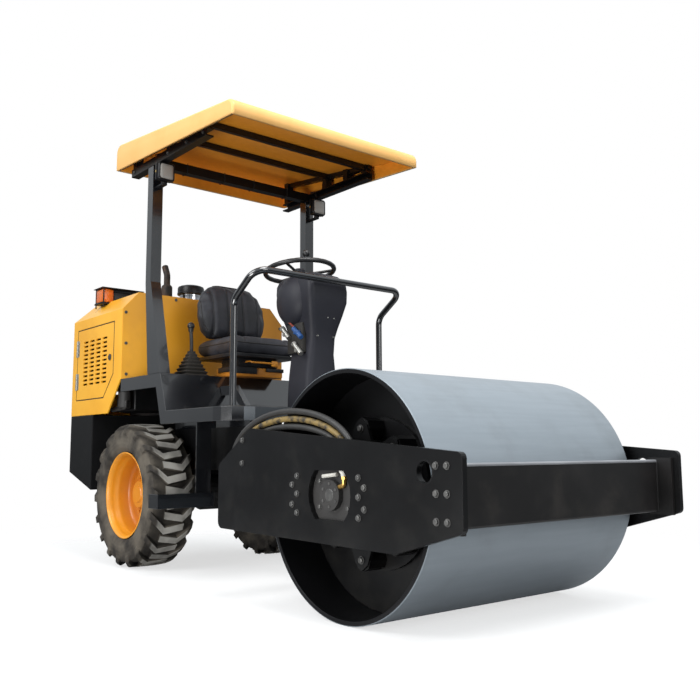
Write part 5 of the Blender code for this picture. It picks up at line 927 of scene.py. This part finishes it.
# Seat: grained vinyl over moulded foam, on a pan, a sprung scissor box and a folded pedestal. The
# backrest is a padded oval with a welted gusset, and two pairs of sewn channels.
def foam(name, node, shrink, cap, relaxed, channels, depth):
    """A CAD pad shrunk, remeshed and blown up as cloth, held to its box, and drawn in along channels."""
    low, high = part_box(node)
    mesh = nodes[node].data.copy()
    mesh.name = name
    solid = bmesh.new()
    solid.from_mesh(mesh)
    solid.transform(nodes[node].matrix_world)
    bmesh.ops.remove_doubles(solid, verts=solid.verts, dist=0.0001)
    middle = (low + high) / 2
    for vert in solid.verts:
        for k in range(3):
            reach = (high[k] - low[k]) / 2
            vert.co[k] = middle[k] + (vert.co[k] - middle[k]) * (reach - shrink[k]) / reach
    made = piece(name, solid, vinyl, "vinyl", node, sharp=180)

    def applied():
        """The mesh as its modifiers leave it, which are then taken off."""
        mesh = bpy.data.meshes.new_from_object(made.evaluated_get(bpy.context.evaluated_depsgraph_get()))
        made.modifiers.clear()
        return mesh

    remesh = made.modifiers.new("remesh", "REMESH")
    remesh.mode = "VOXEL"
    remesh.voxel_size = 0.006
    made.data = applied()
    before = [v.co.copy() for v in made.data.vertices]
    cloth = made.modifiers.new("blow", "CLOTH")
    cloth.settings.use_pressure = True
    cloth.settings.uniform_pressure_force = 4
    cloth.settings.effector_weights.gravity = 0
    for number in range(1, 21):
        bpy.context.scene.frame_set(number)
    made.data = applied()
    bpy.context.scene.frame_set(1)
    stand = 0.004
    for vert, was in zip(made.data.vertices, before):
        moved = vert.co - was
        if moved.length > cap:
            vert.co = was + moved * cap / moved.length
        for k in range(3):
            vert.co[k] = min(max(vert.co[k], low[k] - stand), high[k] + stand)
    solid = bmesh.new()
    solid.from_mesh(made.data)
    axes = {"use_axis_x": True, "use_axis_y": True, "use_axis_z": True}
    for _ in range(relaxed):
        bmesh.ops.smooth_vert(solid, verts=solid.verts, factor=0.5, **axes)
    solid.normal_update()
    for vert in solid.verts:
        if vert.normal.dot(Vector(depth)) < 0:
            near = min(abs(vert.co.y - y) for y in channels)
            vert.co += Vector(depth) * math.exp(-((near / 0.011) ** 2))
    solid.to_mesh(made.data)
    solid.free()
    made.data.shade_smooth()
    smooth = made.modifiers.new("smooth", "SUBSURF")
    smooth.levels = smooth.render_levels = 1
    return made


def sewn(solid, pad, rays, inward, radius, closed=False):
    """A welt laid on a pad along rays, each a point and the way it is cast onto the pad."""
    tree = BVHTree.FromObject(pad, bpy.context.evaluated_depsgraph_get())
    laid = []
    for point, way in rays:
        hit = tree.ray_cast(Vector(point), Vector(way))[0]
        if hit:
            laid.append(hit + Vector(way) * inward)
    pipe(solid, laid, radius, 8, closed)


vinyl = Finish("seat_vinyl", Specular_IOR_Level=0.4)
worn_patch = vinyl.noise(7, 5)
vinyl.tint(vinyl.step(worn_patch, 0.35, 0.7), (32, 33, 37), (52, 53, 59))
vinyl.feed("Roughness", 0.42 + 0.16 * worn_patch)
pebbles = vinyl.node("ShaderNodeTexVoronoi", {"Vector": vinyl.place, "Scale": 420.0})
vinyl.bump(pebbles * 0.6 + 0.3 * vinyl.noise(60, 4), 0.12, 0.0012)
grain = (300, 2, 0.3, 0.0006)
welt_cord = coated("seat_welt", (40, 3), (16, 16, 17), (44, 42, 42), None, grain, Roughness=0.5)
seat_channels, back_channels = (-0.13, 0.13), (-0.145, -0.05, 0.05, 0.145)
cushion = foam("seat_pad", "seat_cushion", (0.012, 0.012, 0.01), 0.02, 14, seat_channels, (0, 0, -0.007))
backrest = foam("backrest_pad", "seat_backrest", (0.011,) * 3, 0.018, 16, back_channels, (-0.009, 0, 0))
bpy.context.view_layer.update()
solid = bmesh.new()
seat_centre = Vector((-0.5225, 0, 1.196))
turns = [2 * math.pi * k / 120 for k in range(120)]
ways = [Vector((math.cos(turn), math.sin(turn), 0)) for turn in turns]
sewn(solid, cushion, [(seat_centre + way * 0.6, -way) for way in ways], 0.001, 0.0038, closed=True)
for y in seat_channels:
    line = [((-0.71 + 0.38 * i / 30, y, 1.4), (0, 0, -1)) for i in range(31)]
    sewn(solid, cushion, line, 0.0015, 0.0026)
piece("cushion_welt", solid, welt_cord, "vinyl", sharp=60)
solid = bmesh.new()
back_z, cast_x = 1.411, -0.2
ring = []
for k in range(96):
    cosine, sine = math.cos(2 * math.pi * k / 96), math.sin(2 * math.pi * k / 96)
    y = 0.205 * math.copysign(abs(cosine) ** 0.6, cosine)
    z = back_z + 0.155 * math.copysign(abs(sine) ** 0.6, sine)
    ring.append(((cast_x, y, z), (-1, 0, 0)))
sewn(solid, backrest, ring, 0.001, 0.0034, closed=True)
for y in back_channels:
    reach = 0.152 * (1 - 0.25 * (abs(y) / 0.2) ** 4)
    line = [((cast_x, y, back_z - reach + 2 * reach * i / 30), (-1, 0, 0)) for i in range(31)]
    sewn(solid, backrest, line, 0.0012, 0.0024)
piece("backrest_welt", solid, welt_cord, "vinyl", sharp=60)
pedestal_paint = enamel("pedestal_enamel", (206, 136, 34), (164, 100, 30), 0.4, 0.06, (120, 80, 40))
solid = bmesh.new()
pedestal_top = 1.0703
block(solid, (-0.595, -0.155, deck_z), (-0.3975, 0.155, pedestal_top), 0.006)
piece("seat_pedestal", solid, pedestal_paint, "hood_paint", "seat_base")
solid = bmesh.new()
block(solid, (-0.585, -0.125, 1.07), (-0.41, 0.125, 1.121), 0.004)
for k in range(4):
    low_z = 1.076 + k * 0.0115
    block(solid, (-0.587 + k * 0.0004, -0.127, low_z), (-0.407, 0.127, low_z + 0.006), 0.002)
block(solid, (-0.7075, -0.205, 1.1203), (-0.3375, 0.205, 1.1263), 0.002)
for x in (-0.7, -0.345):
    block(solid, (x - 0.006, -0.203, 1.1243), (x + 0.006, 0.203, 1.1398), 0.003)
for y in (-0.197, 0.197):
    block(solid, (-0.7, y - 0.006, 1.1243), (-0.345, y + 0.006, 1.1398), 0.003)
for low, high in (
    ((-0.3985, -0.155, 1.034), (-0.389, -0.02, pedestal_top)),
    ((-0.56, -0.163, 1.045), (-0.41, -0.154, pedestal_top)),
    ((-0.3965, 0.04, 1.05), (-0.387, 0.155, pedestal_top)),
):
    block(solid, low, high, 0.002)
piece("seat_suspension", solid, lamp_black, "black_paint")
solid = bmesh.new()
corners = [(-0.42, -0.08, 1.1), (-0.365, -0.08, 1.1), (-0.352, -0.08, 1.094), (-0.352, 0.06, 1.094)]
pipe(solid, bent(corners, 0.01, 20), 0.005, 10)
block(solid, (-0.355, 0.05, 1.078), (-0.349, 0.09, 1.108), 0.002)
rod(solid, (-0.41, 0.1, 1.09), (-0.375, 0.1, 1.09), 0.008, 16)
rod(solid, (-0.378, 0.1, 1.09), (-0.36, 0.1, 1.09), 0.014, 20)
piece("seat_adjuster", solid, pedestal_paint, "hood_paint")

# Console: a rotational-moulded dark grey column with a swollen head, shown open at its lower right
# by a dark block that paints the shade inside, where two plated valves, a blue solenoid and its wires stand.
# Screws hold its front panel.
grain = (260, 2, 0.2, 0.001)
uniform = {"rough": (0.44, 0.18), "grain": grain, "Specular_IOR_Level": 0.25}
console_plastic = coated("console_plastic", (5, 5), (27, 28, 33), (43, 43, 50), **uniform)
console_back, console_depth, console_half, console_low, console_high = -0.0125, 0.185, 0.098, 0.8233, 0.68
console_shares = (  # of the height, the depth at the back and the front, and the half width
    (0, 0, 1, 1), (0.08, 0.0, 1.0, 1.0), (0.24, 0.02, 1, 0.95), (0.4, 0.03, 1, 0.82), (0.52, -0.04, 1.06, 0.8),
    (0.6, -0.12, 1.13, 0.92), (0.68, -0.21, 1.2, 1.08), (0.78, -0.32, 1.29, 1.24), (0.86, -0.37, 1.3, 1.25),
    (0.92, -0.38, 1.27, 1.22), (0.955, -0.34, 1.2, 1.13), (0.98, -0.25, 1.1, 0.96), (0.994, -0.14, 0.96, 0.78),
    (1, -0.1, 0.9, 0.7),
)
solid = bmesh.new()
rings = []
for high_share, back_share, front_share, wide_share in console_shares:
    near, far = (console_back + console_depth * share for share in (back_share, front_share))
    outline = rounded((far - near) / 2, console_half * wide_share, 0.03)
    rings.append([((near + far) / 2 + u, v, console_low + console_high * high_share) for u, v in outline])
loft(solid, rings)
piece("console_shell", solid, console_plastic, "console_plastic", "steering_console", sharp=50)
solid = bmesh.new()
for sign in (-1, 1):
    for vert in bmesh.ops.create_icosphere(solid, subdivisions=4, radius=1)["verts"]:
        x, y, z = vert.co
        vert.co = Vector((0.047 + x * 0.124, sign * 0.084 + y * 0.074, 1.368 + z * 0.128))
piece("console_swell", solid, console_plastic, "console_plastic", sharp=80)
solid = bmesh.new()
screws = [(0.026, 1.421), (0.0, 1.272), (0.038, 1.271), (-0.05, 1.18), (0.05, 1.18), (-0.05, 0.93), (0.05, 0.93)]
for y, z in screws:
    lean = 0.0 if z < 1.05 else (z - 1.05) / 0.3 * 0.26
    x = min(0.1725 + console_depth * lean, 0.2235)
    rod(solid, (x - 0.01, y, z), (x + 0.0016, y, z), 0.004, 10, end_radius=0.0034)
piece("console_screws", solid, zinc, "cast_iron")
solid = bmesh.new()
# Painted shade: a dark block on the console's side stands in for the shaded inside of its opening.
block(solid, (0.01, -0.103, 1.1), (0.135, -0.07, 1.25), 0.004)
piece("console_recess", solid, rubber_and_shade_black, "black_paint")
solid = bmesh.new()
for x, z in ((0.011, 1.198), (0.112, 1.11)):
    rod(solid, (x - 0.025, -0.114, z + 0.03), (x + 0.028, -0.114, z - 0.02), 0.013, 20)
    rod(solid, (x - 0.032, -0.114, z + 0.037), (x - 0.022, -0.114, z + 0.027), 0.0155, 6)
    rod(solid, (x, -0.1, z), (x, -0.125, z), 0.009, 16)
    rod(solid, (x, -0.123, z), (x, -0.128, z), 0.0115, 6)
piece("console_valves", solid, zinc, "cast_iron")
grain = (260, 2, 0.2, 0.0006)
solenoid_blue = coated("solenoid_blue", (30, 3), (28, 62, 110), (44, 84, 140), None, grain, Roughness=0.4)
solid = bmesh.new()
rod(solid, (0.078, -0.115, 1.222), (0.142, -0.115, 1.172), 0.0125, 20)
block(solid, (0.092, -0.128, 1.19), (0.122, -0.104, 1.21), 0.003)
piece("console_solenoid", solid, solenoid_blue, None)
grain = (400, 2, 0.2, 0.0004)
wire_red = coated("wire_red", (30, 3), (110, 44, 36), (150, 70, 56), None, grain, Roughness=0.5)
solid = bmesh.new()
wire = [(0.03, -0.1, 1.255), (0.034, -0.116, 1.258), (0.07, -0.117, 1.236), (0.085, -0.114, 1.215)]
for shift in (0, 0.008):
    pipe(solid, bent([(x + shift, y, z) for x, y, z in wire], 0.01, 20), 0.0025, 8)
piece("console_wires", solid, wire_red, None)

# Steering wheel: a moulded rim with finger grips on three steel spokes, and a spinner knob. The
# column leaves the console through a domed collar.
grain = (350, 2, 0.2, 0.0006)
grip_black = coated("grip_plastic", (20, 4), (20, 20, 21), (36, 36, 37), None, grain, Roughness=0.38)
wheel_centre, wheel_radius, grip_radius = (-0.0275, 0, 1.545), 0.178, 0.0125
tilt = Matrix.Translation(wheel_centre) @ Matrix.Rotation(math.radians(-8), 4, "Y")


def outward(degrees):
    return Vector((math.cos(math.radians(degrees)), math.sin(math.radians(degrees)), 0))


up = Vector((0, 0, 1))
solid = bmesh.new()
rings = []
for k in range(96):
    out = outward(k * 3.75)
    swell = grip_radius - 0.0008 * (k % 4 == 0)
    turns = [2 * math.pi * i / 14 for i in range(14)]
    section = [out * (wheel_radius + swell * math.cos(a)) + up * swell * math.sin(a) for a in turns]
    rings.append([tilt @ point for point in section])
loft(solid, rings, closed=True)
for degrees in (60, 180, 300):
    out = outward(degrees)
    spoke = bent([out * 0.018 - up * 0.012, out * 0.08 - up * 0.012, out * wheel_radius], 0.06, 4)
    pipe(solid, [tilt @ point for point in spoke], 0.0075, 12)
knob = outward(-25) * wheel_radius
rod(solid, tilt @ knob, tilt @ (knob + up * 0.024), 0.007, 16)
for vert in bmesh.ops.create_uvsphere(solid, u_segments=24, v_segments=14, radius=0.0195)["verts"]:
    vert.co = tilt @ (Vector((vert.co.x, vert.co.y, vert.co.z * 0.95)) + knob + up * 0.033)
piece("steering_rim", solid, grip_black, "grip_plastic", "steering_wheel", sharp=50)
solid = bmesh.new()
collar = [(-0.0414, 0), (-0.0414, 0.044), (-0.032, 0.042), (-0.022, 0.034), (-0.014, 0.0285), (0.006, 0.028)]
hub = [(0.012, 0.024), (0.0145, 0.012), (0.015, 0)]
spun(solid, collar + hub, wheel_centre, "Z", 48)
piece("steering_column", solid, console_plastic, "console_plastic")

# Travel lever: a square rubber bellows with sharp folds, and a steel stick with a moulded knob.
lever_x, lever_y, knob_x, folds = -0.5775, -0.32, -0.5875, 7
solid = bmesh.new()
rings = []
for k in range(folds * 2 + 1):
    share = k / (folds * 2)
    reach = (0.078 * (1 - share) + 0.018 * share) * (1 if k % 2 == 0 else 0.84)
    outline = rounded(reach, reach, 0.009, 2)
    rings.append([(lever_x + u, lever_y + v, deck_z + 0.135 * share) for u, v in outline])
loft(solid, rings)
piece("lever_bellows", solid, rubber_and_shade_black, "hose_rubber", "travel_lever", sharp=25)
solid = bmesh.new()
stick = [(lever_x, lever_y, 1.12), (lever_x, lever_y, 1.2), (knob_x, lever_y, 1.285)]
pipe(solid, bent(stick, 0.3, 2), 0.0095, 16)
ball = bmesh.ops.create_uvsphere(solid, u_segments=28, v_segments=18, radius=0.02)["verts"]
bmesh.ops.translate(solid, verts=ball, vec=(knob_x, lever_y, 1.295))
rod(solid, (-0.5868, lever_y, 1.262), (-0.5872, lever_y, 1.28), 0.0125, 20, end_radius=0.015)
piece("lever_stick", solid, grip_black, "grip_plastic", sharp=45)

# Brake pedal and handrail: bent plate and tube in gloss black. The rail is one tube bent round
# the front of the platform, with a thin collar at each foot.
paint_nodes(gloss_black, "brake_pedal", edge=0.0015)
foot_x, rail_x, rail_half, rail_low, rail_bend, rail_high = 0.0725, 0.2525, 0.458, 0.8233, 1.33, 1.45
solid = bmesh.new()
for sign in (-1, 1):
    y = sign * rail_half
    corners = [(foot_x, y, rail_low), (foot_x, y, rail_bend), (rail_x, y, rail_high), (rail_x, 0, rail_high)]
    pipe(solid, bent(corners, 0.07, 7), 0.016, 20)
    rod(solid, (foot_x, y, 0.8235), (foot_x, y, 0.8295), 0.0162, 24)
bmesh.ops.remove_doubles(solid, verts=solid.verts, dist=0.0001)
piece("bent_handrail", solid, gloss_black, "black_paint", "handrail", sharp=45)
